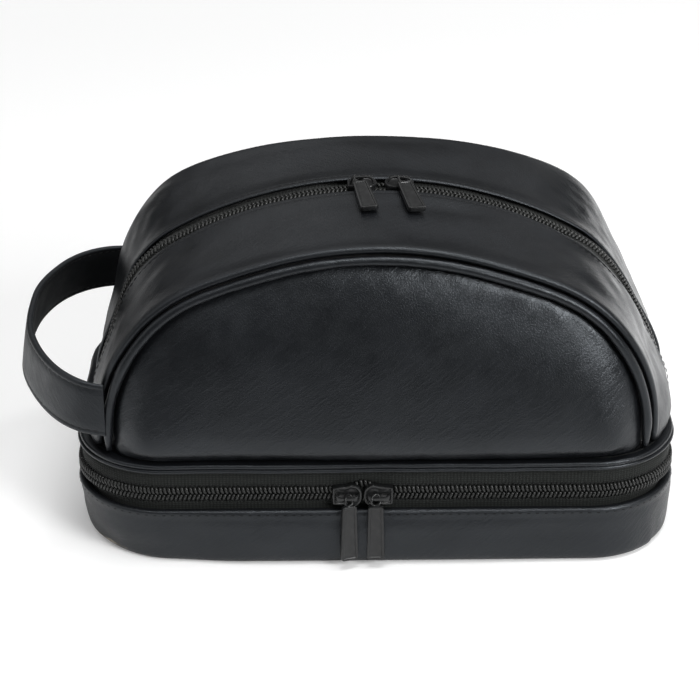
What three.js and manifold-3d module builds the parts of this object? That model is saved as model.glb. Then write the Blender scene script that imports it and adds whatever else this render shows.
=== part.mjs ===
// A leather wash bag with two compartments: a shallow tray under a domed upper bag.
// Millimetres. X runs along the width, Y from front to back, Z up from the surface it stands on.
import * as THREE from "three";
import { mergeVertices } from "three/addons/utils/BufferGeometryUtils.js";
import Module from "manifold-3d";

const wasm = await Module();
wasm.setup();

// Driving dimensions
const clearance = 0.3;
const bag = { width: 267, depth: 148, cornerRadius: 40 };
const tray = { height: 26.5, wall: 2.4, hemWall: 4, hemDepth: 8, draft: 1.5, edgeRadius: 4, floor: 2.4 };
const board = { thickness: 2 };
const cloth = { thickness: 0.7, topBelowHem: 2 };
const rim = { cord: 4 };
const divider = { board: 2, cloth: 0.6 };
const lowerZip = { opening: 20, chainAboveHem: 7, seam: 7, tailPastCorner: 8, endGap: 4 };
const hingeStrip = { thickness: 1.2 };
const dome = { sideSetback: 9, height: 99, stilt: 8, crownAngle: 25, crestSetback: 17, footInset: 1.5 };
const flare = { height: 41 };
const rearShoulder = { fullness: 6.2, from: 14, to: 52 };
const gusset = { leather: 2.5, ridgeInset: 1.8, ridgeRadius: 3.5, lipReach: 3.4, levelDepths: [32, 14] };
const piping = { radius: 2.2, sink: 0.7 };
const panel = { leather: 2.5, crown: 3 };
const lining = { zipSetback: 8 };
const topZip = { mouth: 14, seam: 7, endGap: 16 };
const tape = { thickness: 0.8, edgeGap: 1 };
const teeth = { pitch: 4.8, height: 1.8, reach: 3.2, spine: 1.3, mesh: 0.6, rootWidth: 2.4, tipWidth: 1.6 };
const slider = { length: 13, width: 10.6, plate: 1.2, running: 0.4, bridgeLength: 8.6, pinRadius: 0.8 };
const pull = { reach: 29, width: 8, thickness: 2.5, corner: 1.2, border: 1.3, recess: 0.4 };
const knuckle = { length: 4, bore: 1.2, radius: 2 };
const strap = { width: 21.5, thickness: 3, frontHeight: 73, rearHeight: 79.5, lift: 4, standOff: 37.5 };
const travel = { lowerMeeting: -7, topMeeting: 1, sliderGap: 1 };

// Shapes as shares of the sizes above
const leanPower = 0.8;
const panelRowShares = [0, 0.35, 0.65, 0.88, 1];
const liningRowShares = [0, 0.5, 0.85, 1];
const bottomCentreShare = { x: 0.31, y: 0.22 };
const sliderOutlineShares = [
  [-0.5, 0.42], [0.1, 0.44], [0.26, 0.5], [0.4, 0.44], [0.5, 0.14],
];
const ridgeRoundShares = { front: 0.45, back: 0.15 };
const fullShares = { start: 0, full: 0.62, falling: 0.56, end: 0.82 };

// Facet counts
const cornerSteps = 6;
const crownSteps = 5;
const shoulderSteps = 7;
const cordSides = 8;
const strapSteps = 16;
const pinSides = 8;
const edgeSteps = 2;

// Heights and depths that follow
const rimUnderside = tray.height + lowerZip.opening;
const rimTop = rimUnderside + rim.cord;
const domeFoot = rimTop + clearance;
const chainHeight = tray.height + lowerZip.chainAboveHem;
const lowerTapeInset = Math.max(tray.hemWall, rim.cord) + clearance;
const innerInset = lowerTapeInset + Math.max(tape.thickness, hingeStrip.thickness) + clearance;
const topTapeInset = gusset.leather + clearance;
const pipingInset = gusset.ridgeInset + gusset.lipReach + clearance + piping.radius;
const panelInset = pipingInset + piping.radius + clearance;
const liningInset = gusset.ridgeInset + gusset.leather + clearance + tape.thickness + clearance;
const liningBehindFace = piping.sink + piping.radius + clearance;
const archHalfWidth = bag.width / 2 - dome.sideSetback;
const crestDepth = bag.depth / 2 - dome.crestSetback;
const pinHeight = clearance + teeth.height + slider.running + slider.plate + knuckle.radius + clearance;

// Colours and finishes
const leather = { color: 0x38393b, roughness: 0.42, metalness: 0 };
const darkLeather = { color: 0x2e2f31, roughness: 0.45, metalness: 0 };
const zipCloth = { color: 0x242624, roughness: 0.9, metalness: 0 };
const zipPlastic = { color: 0x2c2d2d, roughness: 0.5, metalness: 0 };
const liningCloth = { color: 0x1f2022, roughness: 0.85, metalness: 0 };
const greyBoard = { color: 0x8a8478, roughness: 0.95, metalness: 0 };
const blackMetal = { color: 0x3c3d3e, roughness: 0.35, metalness: 0.6 };

const group = new THREE.Group();

function addPiece(name, geometry, finish, parent = group) {
  const mesh = new THREE.Mesh(geometry, new THREE.MeshStandardMaterial(finish));
  mesh.name = name;
  parent.add(mesh);
  return mesh;
}

// Closed bodies from points and corner numbers, with every face turned outwards

function closedBody(points, corners) {
  const triangles = [];
  let volume = 0;
  for (let index = 0; index < corners.length; index += 3) {
    const triangle = corners.slice(index, index + 3);
    if (new Set(triangle).size < 3) continue;
    const [a, b, c] = triangle.map((number) => points[number]);
    volume += a.dot(new THREE.Vector3().crossVectors(b, c));
    triangles.push(triangle);
  }
  const facing = volume < 0 ? triangles.map((triangle) => triangle.reverse()) : triangles;
  const geometry = new THREE.BufferGeometry().setFromPoints(points);
  geometry.setIndex(facing.flat());
  geometry.computeVertexNormals();
  return geometry;
}

function quad(corners, a, b, c, d) {
  corners.push(a, b, c, a, c, d);
}

// A wall between an outer and an inner sheet of rows. A row of one point is a pole.
// Sheets that close into rings need no side walls and may differ in their number of rows.
function shell(outer, inner, ring = false) {
  const points = [];
  const corners = [];
  const number = (sheet) => sheet.map((row) => row.map((point) => points.push(point) - 1));
  const at = (row, column) => row[row.length === 1 ? 0 : column % row.length];
  const outerRows = number(outer);
  const innerRows = number(inner);
  const columns = Math.max(...outer.map((row) => row.length));
  const spans = ring ? columns : columns - 1;

  for (const [rows, turned] of [[outerRows, false], [innerRows, true]]) {
    for (let row = 0; row < rows.length - 1; row += 1) {
      for (let column = 0; column < spans; column += 1) {
        const face = [
          at(rows[row], column), at(rows[row], column + 1),
          at(rows[row + 1], column + 1), at(rows[row + 1], column),
        ];
        quad(corners, ...(turned ? face.reverse() : face));
      }
    }
  }
  for (const end of [0, -1]) {
    const from = outerRows.at(end);
    const to = innerRows.at(end);
    if (from.length === 1) continue;
    for (let column = 0; column < spans; column += 1) {
      const wall = [at(from, column), at(from, column + 1), at(to, column + 1), at(to, column)];
      quad(corners, ...(end === 0 ? [wall[1], wall[0], wall[3], wall[2]] : wall));
    }
  }
  if (!ring) {
    for (let row = 0; row < outerRows.length - 1; row += 1) {
      for (const column of [0, columns - 1]) {
        const wall = [
          at(outerRows[row], column), at(outerRows[row + 1], column),
          at(innerRows[row + 1], column), at(innerRows[row], column),
        ];
        quad(corners, ...(column === 0 ? wall : [wall[1], wall[0], wall[3], wall[2]]));
      }
    }
  }
  return closedBody(points, corners);
}

// A solid through a run of convex sections, capped at its ends unless it closes on itself
function loft(sections, closed = false) {
  const points = sections.flat();
  const size = sections[0].length;
  const corners = [];
  const spans = closed ? sections.length : sections.length - 1;
  for (let span = 0; span < spans; span += 1) {
    const here = span * size;
    const next = ((span + 1) % sections.length) * size;
    for (let side = 0; side < size; side += 1) {
      const beside = (side + 1) % size;
      quad(corners, here + side, here + beside, next + beside, next + side);
    }
  }
  if (!closed) {
    const last = (sections.length - 1) * size;
    for (let side = 1; side < size - 1; side += 1) {
      corners.push(0, side + 1, side, last, last + side, last + side + 1);
    }
  }
  return closedBody(points, corners);
}

// Booleans on small metal pieces

function toSolid(geometry) {
  const bare = geometry.clone();
  bare.deleteAttribute("normal");
  bare.deleteAttribute("uv");
  const merged = mergeVertices(bare);
  const triVerts = merged.index.array;
  const vertProperties = merged.attributes.position.array;
  return new wasm.Manifold(new wasm.Mesh({ numProp: 3, vertProperties, triVerts }));
}

function toGeometry(solid) {
  const mesh = solid.getMesh();
  const geometry = new THREE.BufferGeometry();
  geometry.setAttribute("position", new THREE.BufferAttribute(mesh.vertProperties, 3));
  geometry.setIndex(new THREE.BufferAttribute(mesh.triVerts, 1));
  geometry.computeVertexNormals();
  return geometry;
}

function block(x, y, z, centre) {
  return new THREE.BoxGeometry(x, y, z).translate(...centre);
}

// The footprint: a rectangle with round corners. A place on it is measured along the
// outline from the middle of the front, to the right as positive, and inwards from it.
const straight = { x: bag.width / 2 - bag.cornerRadius, y: bag.depth / 2 - bag.cornerRadius };
const cornerArc = (bag.cornerRadius * Math.PI) / 2;
const frontCornerEnd = straight.x + cornerArc;
const sideEnd = frontCornerEnd + 2 * straight.y;
const rearCornerEnd = sideEnd + cornerArc;
const outlineHalf = rearCornerEnd + straight.x;
const zipEnd = rearCornerEnd + lowerZip.tailPastCorner;

function footprintPoint(along, inset, z) {
  const distance = Math.abs(along);
  const radius = bag.cornerRadius - inset;
  const place = new THREE.Vector3(straight.x - (distance - rearCornerEnd), bag.depth / 2 - inset, z);
  if (distance <= straight.x) {
    place.set(distance, inset - bag.depth / 2, z);
  } else if (distance <= frontCornerEnd) {
    const turn = (distance - straight.x) / bag.cornerRadius;
    place.set(straight.x + radius * Math.sin(turn), -straight.y - radius * Math.cos(turn), z);
  } else if (distance <= sideEnd) {
    place.set(bag.width / 2 - inset, distance - frontCornerEnd - straight.y, z);
  } else if (distance <= rearCornerEnd) {
    const turn = (distance - sideEnd) / bag.cornerRadius;
    place.set(straight.x + radius * Math.cos(turn), straight.y + radius * Math.sin(turn), z);
  }
  place.x *= Math.sign(along) || 1;
  return place;
}

const rightCorners = [straight.x, sideEnd].flatMap((start) =>
  Array.from({ length: cornerSteps + 1 }, (_, step) => start + (cornerArc * step) / cornerSteps));
const outlineStations = [...rightCorners.map((along) => -along).reverse(), ...rightCorners];
const zipStations = [-zipEnd, ...outlineStations, zipEnd];

function footprintRow(inset, z) {
  return outlineStations.map((along) => footprintPoint(along, inset, z));
}

function footprintDepth(x) {
  const past = Math.min(Math.max(Math.abs(x) - straight.x, 0), bag.cornerRadius);
  return straight.y + Math.sqrt(bag.cornerRadius ** 2 - past ** 2);
}

function footprintHalfWidth(y) {
  const past = Math.min(Math.max(Math.abs(y) - straight.y, 0), bag.cornerRadius);
  return straight.x + Math.sqrt(bag.cornerRadius ** 2 - past ** 2);
}

function flatSheet(inset, bottom, thickness) {
  return loft([footprintRow(inset, bottom), footprintRow(inset, bottom + thickness)]);
}

// The dome's outline: a flat crown arc, two tighter shoulders and short straight feet.
// A place on it is measured from its top, to the right as positive, and inwards from it.
// Towards the back its shoulders are fuller, and its ends spread at the foot to meet the rim.
const crownTurn = THREE.MathUtils.degToRad(dome.crownAngle);
const rise = dome.height - dome.stilt;
const radiusStep = (archHalfWidth - rise) / (Math.sin(crownTurn) + Math.cos(crownTurn) - 1);
const shoulderRadius = archHalfWidth - radiusStep * Math.sin(crownTurn);
const crownRadius = shoulderRadius + radiusStep;
const crownLength = crownRadius * crownTurn;
const shoulderTurn = Math.PI / 2 - crownTurn;
const shoulderLength = shoulderRadius * shoulderTurn;
const archHalf = crownLength + shoulderLength + dome.stilt;

function spread(distance, y) {
  const outline = shoulderRadius * Math.cos(crownTurn + (distance - crownLength) / shoulderRadius);
  const height = distance < archHalf - dome.stilt ? dome.stilt + outline : archHalf - distance;
  const toRim = footprintHalfWidth(y) - dome.footInset - archHalfWidth;
  const share = distance < crownLength ? 0 : THREE.MathUtils.smoothstep(-height, -flare.height, 0);
  return Math.max(toRim, 0) * share;
}

function fullness(distance, y) {
  const along = distance / archHalf;
  const rising = THREE.MathUtils.smoothstep(along, fullShares.start, fullShares.full);
  const falling = THREE.MathUtils.smoothstep(along, fullShares.falling, fullShares.end);
  const depthShare = THREE.MathUtils.smoothstep(y, rearShoulder.from, rearShoulder.to);
  return rearShoulder.fullness * rising * (1 - falling) * depthShare;
}

function archPoint(along, outlineInset, y) {
  const distance = Math.abs(along);
  const inset = outlineInset - fullness(distance, y);
  const place = new THREE.Vector3(archHalfWidth - inset, y, domeFoot + archHalf - distance);
  if (distance <= crownLength) {
    const turn = distance / crownRadius;
    const radius = crownRadius - inset;
    const centre = domeFoot + dome.height - crownRadius;
    place.set(radius * Math.sin(turn), y, centre + radius * Math.cos(turn));
  } else if (distance <= crownLength + shoulderLength) {
    const turn = crownTurn + (distance - crownLength) / shoulderRadius;
    const radius = shoulderRadius - inset;
    const centre = { x: radiusStep * Math.sin(crownTurn), z: domeFoot + dome.stilt };
    place.set(centre.x + radius * Math.sin(turn), y, centre.z + radius * Math.cos(turn));
  }
  place.x = (place.x + spread(distance, y)) * (Math.sign(along) || 1);
  return place;
}

const rightArch = [
  ...Array.from({ length: crownSteps }, (_, step) => (crownLength * (step + 1)) / crownSteps),
  ...Array.from({ length: shoulderSteps }, (_, step) =>
    crownLength + (shoulderLength * (step + 1)) / shoulderSteps),
  archHalf,
];
const archStations = [...rightArch.map((along) => -along).reverse(), 0, ...rightArch];

// How far in front of the middle the upright face stands at a point of the dome
function faceDepth(place) {
  const heightShare = (place.z - domeFoot) / dome.height;
  const foot = footprintDepth(place.x) - dome.footInset;
  const lean = Math.max(1 - heightShare, 0) ** leanPower;
  return crestDepth + (foot - crestDepth) * lean;
}

// A row along the arch, on the front (side -1) or the back (side 1), behind the face
function facePoint(side, along, inset) {
  return archPoint(along, inset, (side * bag.depth) / 2);
}

function faceRow(side, inset, behind) {
  return archStations.map((along) => {
    const place = facePoint(side, along, inset);
    place.y = side * (faceDepth(place) - behind);
    return place;
  });
}

// A row along the arch at an even depth from the bag's middle
function levelRow(side, inset, depth) {
  return archStations.map((along) => archPoint(along, inset, side * depth));
}

// A row of the face inside the arch, drawn in towards the middle of its foot by a share
function innerFaceRow(side, inset, behind, share, crown) {
  const row = share === 0 ? [0] : archStations;
  return row.map((along) => {
    const place = facePoint(side, along, inset);
    place.x *= share;
    place.z = domeFoot + (place.z - domeFoot) * share;
    const heightShare = (place.z - domeFoot) / dome.height;
    const bulge = crown * heightShare * (1 - share ** 2);
    place.y = side * (faceDepth(place) + bulge - behind);
    return place;
  });
}

// Zip parts. A zip's own place gives a point from a distance along it, across it and out of it.

function lowerZipPlace(along, across, out) {
  return footprintPoint(along, lowerTapeInset - out, chainHeight + across);
}

function topZipPlace(along, across, out) {
  return archPoint(along, topTapeInset - out, across);
}

function tapeBody(place, stations, side, from, to) {
  const edges = [[from, 0], [to, 0], [to, -tape.thickness], [from, -tape.thickness]];
  return loft(stations.map((along) => edges.map(([across, out]) => place(along, side * across, out))));
}

// One row of teeth on their spine, a comb bent along the zip. The other row's teeth stand
// half a pitch along, so the two rows mesh. The comb is filled stretch by stretch between
// the stations of the bend, so that no face cuts across a corner.
function toothRow(place, stations, side, shift, endGap) {
  const end = stations.at(-1) - endGap;
  const root = teeth.reach - teeth.spine;
  const count = Math.floor((2 * end) / teeth.pitch) - 1;
  const first = shift * teeth.pitch - (teeth.pitch * (count - 1)) / 2;
  const spine = [-end, ...stations.filter((along) => Math.abs(along) < end), end]
    .map((along) => new THREE.Vector2(along, teeth.reach));
  const edge = [new THREE.Vector2(-end, root)];
  for (let index = 0; index < count; index += 1) {
    const along = first + index * teeth.pitch;
    edge.push(new THREE.Vector2(along - teeth.rootWidth / 2, root));
    edge.push(new THREE.Vector2(along - teeth.tipWidth / 2, -teeth.mesh));
    edge.push(new THREE.Vector2(along + teeth.tipWidth / 2, -teeth.mesh));
    edge.push(new THREE.Vector2(along + teeth.rootWidth / 2, root));
  }
  edge.push(new THREE.Vector2(end, root));

  const flat = [...edge, ...spine.reverse()];
  const points = [clearance + teeth.height, clearance].flatMap((out) =>
    flat.map(({ x, y }) => place(x, side * y, out)));
  const corners = [];
  const cutAt = (number) => {
    if (number === edge.length) return edge.length - 1;
    if (number === flat.length - 1) return 0;
    const tooth = Math.ceil((flat[number].x + teeth.rootWidth / 2 - first) / teeth.pitch);
    return 1 + 4 * Math.min(Math.max(tooth, 0), count - 1);
  };
  for (let number = edge.length; number < flat.length - 1; number += 1) {
    const stretch = [number, number + 1];
    for (let cut = cutAt(number + 1); cut <= cutAt(number); cut += 1) stretch.push(cut);
    const outline = stretch.map((corner) => flat[corner]);
    for (const face of THREE.ShapeUtils.triangulateShape(outline, [])) {
      const turned = THREE.ShapeUtils.area(face.map((corner) => outline[corner])) < 0;
      const [a, b, c] = (turned ? face.reverse() : face).map((corner) => stretch[corner]);
      corners.push(a, b, c, flat.length + c, flat.length + b, flat.length + a);
    }
  }
  for (let from = 0; from < flat.length; from += 1) {
    const to = (from + 1) % flat.length;
    quad(corners, to, from, flat.length + from, flat.length + to);
  }
  return closedBody(points, corners);
}

// Slider body, with X along the chain to its nose, Y across and Z out from the tape.
// Its plate bridges the teeth, two cheeks run down beside them, and a pin carries the pull.
function sliderGeometry() {
  const under = clearance + teeth.height + slider.running;
  const top = under + slider.plate;
  const channel = 2 * (teeth.reach + slider.running);
  const outline = new THREE.Shape([
    ...sliderOutlineShares.map(([x, y]) => new THREE.Vector2(x * slider.length, y * slider.width)),
    ...sliderOutlineShares.map(([x, y]) => new THREE.Vector2(x * slider.length, -y * slider.width))
      .reverse(),
  ]);
  const depth = top - slider.running;
  const body = new THREE.ExtrudeGeometry(outline, { depth, bevelEnabled: false })
    .translate(0, 0, slider.running);
  const tunnel = block(2 * slider.length, channel, 2 * under, [0, 0, 0]);
  const pin = new THREE.CylinderGeometry(slider.pinRadius, slider.pinRadius, slider.bridgeLength, pinSides)
    .rotateZ(Math.PI / 2)
    .translate(0, 0, pinHeight);
  let solid = toSolid(body).subtract(toSolid(tunnel)).add(toSolid(pin));
  const postLength = (slider.bridgeLength - knuckle.length) / 2 - slider.running;
  const postHeight = pinHeight + slider.pinRadius - under;
  for (const side of [-1, 1]) {
    const x = (side * (slider.bridgeLength - postLength)) / 2;
    const post = block(postLength, 2 * slider.pinRadius, postHeight, [x, 0, under + postHeight / 2]);
    solid = solid.add(toSolid(post));
  }
  return toGeometry(solid);
}

// Pull, with its pin's axis along X at the origin and its tab running towards -Y
function pullGeometry() {
  const tabTop = -(knuckle.bore + clearance);
  const halfWidth = pull.width / 2;
  const tab = new THREE.Shape();
  tab.moveTo(-halfWidth + pull.corner, -pull.reach);
  tab.lineTo(halfWidth - pull.corner, -pull.reach);
  tab.lineTo(halfWidth, -pull.reach + pull.corner);
  tab.lineTo(halfWidth, tabTop - pull.corner);
  tab.lineTo(halfWidth - pull.corner, tabTop);
  tab.lineTo(-halfWidth + pull.corner, tabTop);
  tab.lineTo(-halfWidth, tabTop - pull.corner);
  tab.lineTo(-halfWidth, -pull.reach + pull.corner);
  const plate = new THREE.ExtrudeGeometry(tab, { depth: pull.thickness, bevelEnabled: false })
    .translate(0, 0, -pull.thickness / 2);
  const ring = new THREE.CylinderGeometry(knuckle.radius, knuckle.radius, knuckle.length, 2 * pinSides)
    .rotateZ(Math.PI / 2);
  const bore = new THREE.CylinderGeometry(knuckle.bore, knuckle.bore, 2 * knuckle.length, 2 * pinSides)
    .rotateZ(Math.PI / 2);
  let solid = toSolid(plate).add(toSolid(ring)).subtract(toSolid(bore));
  const fieldTop = -(knuckle.radius + pull.border);
  const fieldBottom = -pull.reach + pull.border;
  for (const side of [-1, 1]) {
    const field = block(pull.width - 2 * pull.border, fieldTop - fieldBottom, 2 * pull.recess,
      [0, (fieldTop + fieldBottom) / 2, (side * pull.thickness) / 2]);
    solid = solid.subtract(toSolid(field));
  }
  return toGeometry(solid);
}

// Sets a slider and its pull on a chain. The pull may lean about its pin.
function addSlider(zip, side, carrier, lean) {
  const name = side < 0 ? "left" : "right";
  group.add(carrier);
  const body = addPiece(`${zip}_slider_${name}`, sliderGeometry(), blackMetal, carrier);
  body.rotation.z = side < 0 ? 0 : Math.PI;
  const tab = addPiece(`${zip}_pull_${name}`, pullGeometry(), blackMetal, carrier);
  tab.position.z = pinHeight;
  tab.rotation.x = lean;
}

// Tray: a leather wall with a turned-in hem, drawn in a little towards a rounded bottom edge
function trayGeometry() {
  const bottomCentre = (z) => [new THREE.Vector3(
    bottomCentreShare.x * bag.width, bottomCentreShare.y * bag.depth, z)];
  const edgeRows = Array.from({ length: edgeSteps + 1 }, (_, step) => {
    const turn = (Math.PI / 2) * (step / edgeSteps);
    return footprintRow(
      tray.draft + tray.edgeRadius * (1 - Math.cos(turn)), tray.edgeRadius * (1 - Math.sin(turn)));
  });
  const outer = [footprintRow(0, tray.height), ...edgeRows, bottomCentre(0)];
  const inner = [
    footprintRow(tray.hemWall, tray.height),
    footprintRow(tray.hemWall, tray.height - tray.hemDepth),
    footprintRow(tray.wall + tray.draft, tray.height - tray.hemDepth - tray.wall),
    footprintRow(tray.wall + tray.draft, tray.floor),
    bottomCentre(tray.floor),
  ];
  return shell(outer, inner, true);
}

addPiece("base_tray", trayGeometry(), leather);

const boardInset = tray.wall + tray.draft + clearance;
const boardBottom = tray.floor + clearance;
addPiece("base_board", flatSheet(boardInset, boardBottom, board.thickness), greyBoard);

// Tray lining: a thin open box of cloth that rests on the board
function trayLiningGeometry() {
  const floor = boardBottom + board.thickness + clearance;
  const top = tray.height - cloth.topBelowHem;
  const centre = (z) => [new THREE.Vector3(0, 0, z)];
  const outer = [footprintRow(innerInset, top), footprintRow(innerInset, floor), centre(floor)];
  const inset = innerInset + cloth.thickness;
  const lifted = floor + cloth.thickness;
  const inner = [footprintRow(inset, top), footprintRow(inset, lifted), centre(lifted)];
  return shell(outer, inner, true);
}

addPiece("base_lining", trayLiningGeometry(), liningCloth);

// Lower zip: two tapes round the front and sides, one sewn behind the hem, one to the rim
const lowerTapeReach = lowerZip.chainAboveHem + lowerZip.seam;
const upperTapeReach = lowerZip.opening - lowerZip.chainAboveHem + rim.cord - clearance;
addPiece("base_zip_tape",
  tapeBody(lowerZipPlace, zipStations, -1, tape.edgeGap / 2, lowerTapeReach), zipCloth);
addPiece("base_zip_teeth", toothRow(lowerZipPlace, zipStations, -1, 0, lowerZip.endGap), zipPlastic);
addPiece("lid_zip_tape",
  tapeBody(lowerZipPlace, zipStations, 1, tape.edgeGap / 2, upperTapeReach), zipCloth);
addPiece("lid_zip_teeth", toothRow(lowerZipPlace, zipStations, 1, 0.5, lowerZip.endGap), zipPlastic);

// Leather strip that hinges the upper bag to the tray along the back
const stripWidth = 2 * (outlineHalf - zipEnd - clearance);
const stripHeight = lowerTapeReach + upperTapeReach;
const strip = addPiece("rear_hinge_strip",
  new THREE.BoxGeometry(stripWidth, hingeStrip.thickness, stripHeight), darkLeather);
strip.position.set(0, bag.depth / 2 - lowerTapeInset - hingeStrip.thickness / 2,
  chainHeight + (upperTapeReach - lowerTapeReach) / 2);

// Divider between the compartments, edged by a cord of leather all round
function rimCordGeometry() {
  const radius = rim.cord / 2;
  const sections = outlineStations.map((along) => Array.from({ length: cordSides }, (_, side) => {
    const turn = (2 * Math.PI * (side + 0.5)) / cordSides;
    return footprintPoint(along, radius - radius * Math.cos(turn),
      rimUnderside + radius + radius * Math.sin(turn));
  }));
  return loft(sections, true);
}

const dividerBottom = rimUnderside + (rim.cord - divider.board) / 2;
addPiece("rim_piping", rimCordGeometry(), leather);
addPiece("divider_board", flatSheet(innerInset, dividerBottom, divider.board), greyBoard);
addPiece("divider_lower_cloth",
  flatSheet(innerInset, dividerBottom - clearance - divider.cloth, divider.cloth), liningCloth);
addPiece("divider_upper_cloth",
  flatSheet(innerInset, dividerBottom + divider.board + clearance, divider.cloth), liningCloth);

// Upper bag, front and back halves alike

function gussetGeometry(side) {
  const ridge = gusset.ridgeInset;
  const lip = ridge + gusset.lipReach;
  const softFront = gusset.ridgeRadius * ridgeRoundShares.front;
  const softBack = gusset.ridgeRadius * ridgeRoundShares.back;
  const inner = ridge + gusset.leather;
  const outerRows = [
    faceRow(side, lip, 0),
    faceRow(side, ridge + softFront, softBack),
    faceRow(side, ridge, gusset.ridgeRadius),
    ...gusset.levelDepths.map((depth) => levelRow(side, 0, depth)),
    levelRow(side, 0, topZip.mouth / 2),
  ];
  const innerRows = [
    faceRow(side, lip, gusset.leather),
    faceRow(side, inner + softBack, gusset.leather),
    faceRow(side, inner, gusset.leather + softBack),
    ...gusset.levelDepths.map((depth) => levelRow(side, gusset.leather, depth)),
    levelRow(side, gusset.leather, topZip.mouth / 2),
  ];
  return shell(outerRows, innerRows);
}

function panelGeometry(side) {
  const rows = (behind) => panelRowShares.map((share) =>
    innerFaceRow(side, panelInset, behind, share, panel.crown));
  return shell(rows(0), rows(panel.leather));
}

function archCordGeometry(side) {
  const sections = archStations.map((along) => Array.from({ length: cordSides }, (_, step) => {
    const turn = (2 * Math.PI * (step + 0.5)) / cordSides;
    const centre = facePoint(side, along, pipingInset);
    const place = facePoint(side, along, pipingInset - piping.radius * Math.cos(turn));
    place.y = side * (faceDepth(centre) - piping.sink + piping.radius * Math.sin(turn));
    return place;
  }));
  return loft(sections);
}

function liningGeometry(side) {
  const rows = (extra) => [
    ...liningRowShares.map((share) =>
      innerFaceRow(side, liningInset + extra, liningBehindFace + extra, share, 0)),
    ...gusset.levelDepths.map((depth) => levelRow(side, liningInset + extra, depth)),
    levelRow(side, topTapeInset + tape.thickness + clearance + extra, lining.zipSetback),
  ];
  return shell(rows(0), rows(cloth.thickness));
}

for (const [half, side] of [["front", -1], ["rear", 1]]) {
  addPiece(`${half}_panel`, panelGeometry(side), leather);
  addPiece(`${half}_piping`, archCordGeometry(side), leather);
  addPiece(`${half}_gusset`, gussetGeometry(side), leather);
  addPiece(`${half}_lining`, liningGeometry(side), liningCloth);
  addPiece(`${half}_zip_tape`, tapeBody(topZipPlace, archStations, side,
    tape.edgeGap / 2, topZip.mouth / 2 + topZip.seam), zipCloth);
  const shift = side < 0 ? 0 : 0.5;
  addPiece(`${half}_zip_teeth`, toothRow(topZipPlace, archStations, side, shift, topZip.endGap), zipPlastic);
}

// Carry strap: a flat band that loops out from the front seam to the back seam on the left
function strapGeometry() {
  const bottom = strap.frontHeight - strap.width / 2;
  const middleHeight = (strap.frontHeight + strap.rearHeight) / 2;
  const rise = (strap.rearHeight - strap.frontHeight) / 2;
  const seam = archHalfWidth - gusset.ridgeInset - gusset.lipReach;
  const depthAtSeam = faceDepth(new THREE.Vector3(seam, 0, bottom));
  const reach = depthAtSeam + clearance + strap.thickness / 2;
  const sections = Array.from({ length: strapSteps + 1 }, (_, step) => {
    const turn = Math.PI * (step / strapSteps - 1 / 2);
    const out = new THREE.Vector3(-Math.cos(turn) * reach, Math.sin(turn) * strap.standOff, 0);
    out.setLength(strap.thickness / 2);
    const middle = new THREE.Vector3(
      -seam - strap.standOff * Math.cos(turn), reach * Math.sin(turn),
      middleHeight + rise * Math.sin(turn) + strap.lift * Math.cos(turn));
    return [[1, -1], [1, 1], [-1, 1], [-1, -1]].map(([face, edge]) => {
      const place = middle.clone().addScaledVector(out, face);
      place.z += (edge * strap.width) / 2;
      return place;
    });
  });
  return loft(sections);
}

addPiece("carry_strap", strapGeometry(), leather);

// Sliders: two meet nose to nose on each zip. The top pulls lie forward on the leather,
// the lower ones hang down in front of the tray.
const sliderSpacing = (slider.length + travel.sliderGap) / 2;
const topLean = Math.asin((pinHeight - pull.thickness / 2 - slider.running - topTapeInset) / pull.reach);

for (const side of [-1, 1]) {
  const lower = new THREE.Group();
  lower.position.copy(lowerZipPlace(travel.lowerMeeting + side * sliderSpacing, 0, 0));
  lower.rotation.x = Math.PI / 2;
  addSlider("lower", side, lower, 0);

  const top = new THREE.Group();
  const along = travel.topMeeting + side * sliderSpacing;
  top.position.copy(topZipPlace(along, 0, 0));
  top.rotation.y = along / crownRadius;
  addSlider("top", side, top, topLean);
}

export default group;
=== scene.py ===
"""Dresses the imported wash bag: leather shells, woven zip tapes, coils, metal sliders and a studio."""
import math

import bmesh
import bpy
import numpy as np
from mathutils import Matrix, Vector

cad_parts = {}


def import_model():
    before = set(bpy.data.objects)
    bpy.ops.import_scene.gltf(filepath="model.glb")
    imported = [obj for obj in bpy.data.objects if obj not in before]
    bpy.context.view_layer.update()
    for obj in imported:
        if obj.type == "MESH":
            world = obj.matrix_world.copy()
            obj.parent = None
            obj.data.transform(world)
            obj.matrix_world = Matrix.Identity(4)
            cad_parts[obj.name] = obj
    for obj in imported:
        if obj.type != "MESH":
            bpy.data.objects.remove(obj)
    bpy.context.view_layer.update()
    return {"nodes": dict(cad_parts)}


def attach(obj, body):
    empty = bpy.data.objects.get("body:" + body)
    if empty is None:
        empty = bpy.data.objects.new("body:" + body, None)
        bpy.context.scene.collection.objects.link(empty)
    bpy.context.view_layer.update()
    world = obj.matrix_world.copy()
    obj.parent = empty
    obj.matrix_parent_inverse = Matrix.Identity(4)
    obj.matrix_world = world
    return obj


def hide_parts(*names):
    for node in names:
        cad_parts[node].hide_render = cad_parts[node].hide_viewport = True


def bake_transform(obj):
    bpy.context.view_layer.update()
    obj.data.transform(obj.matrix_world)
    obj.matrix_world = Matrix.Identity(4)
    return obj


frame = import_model()
nodes = frame["nodes"]

# Shape numbers below are in millimetres, as in the CAD source; meshes are written in metres.
MM = 0.001

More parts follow.
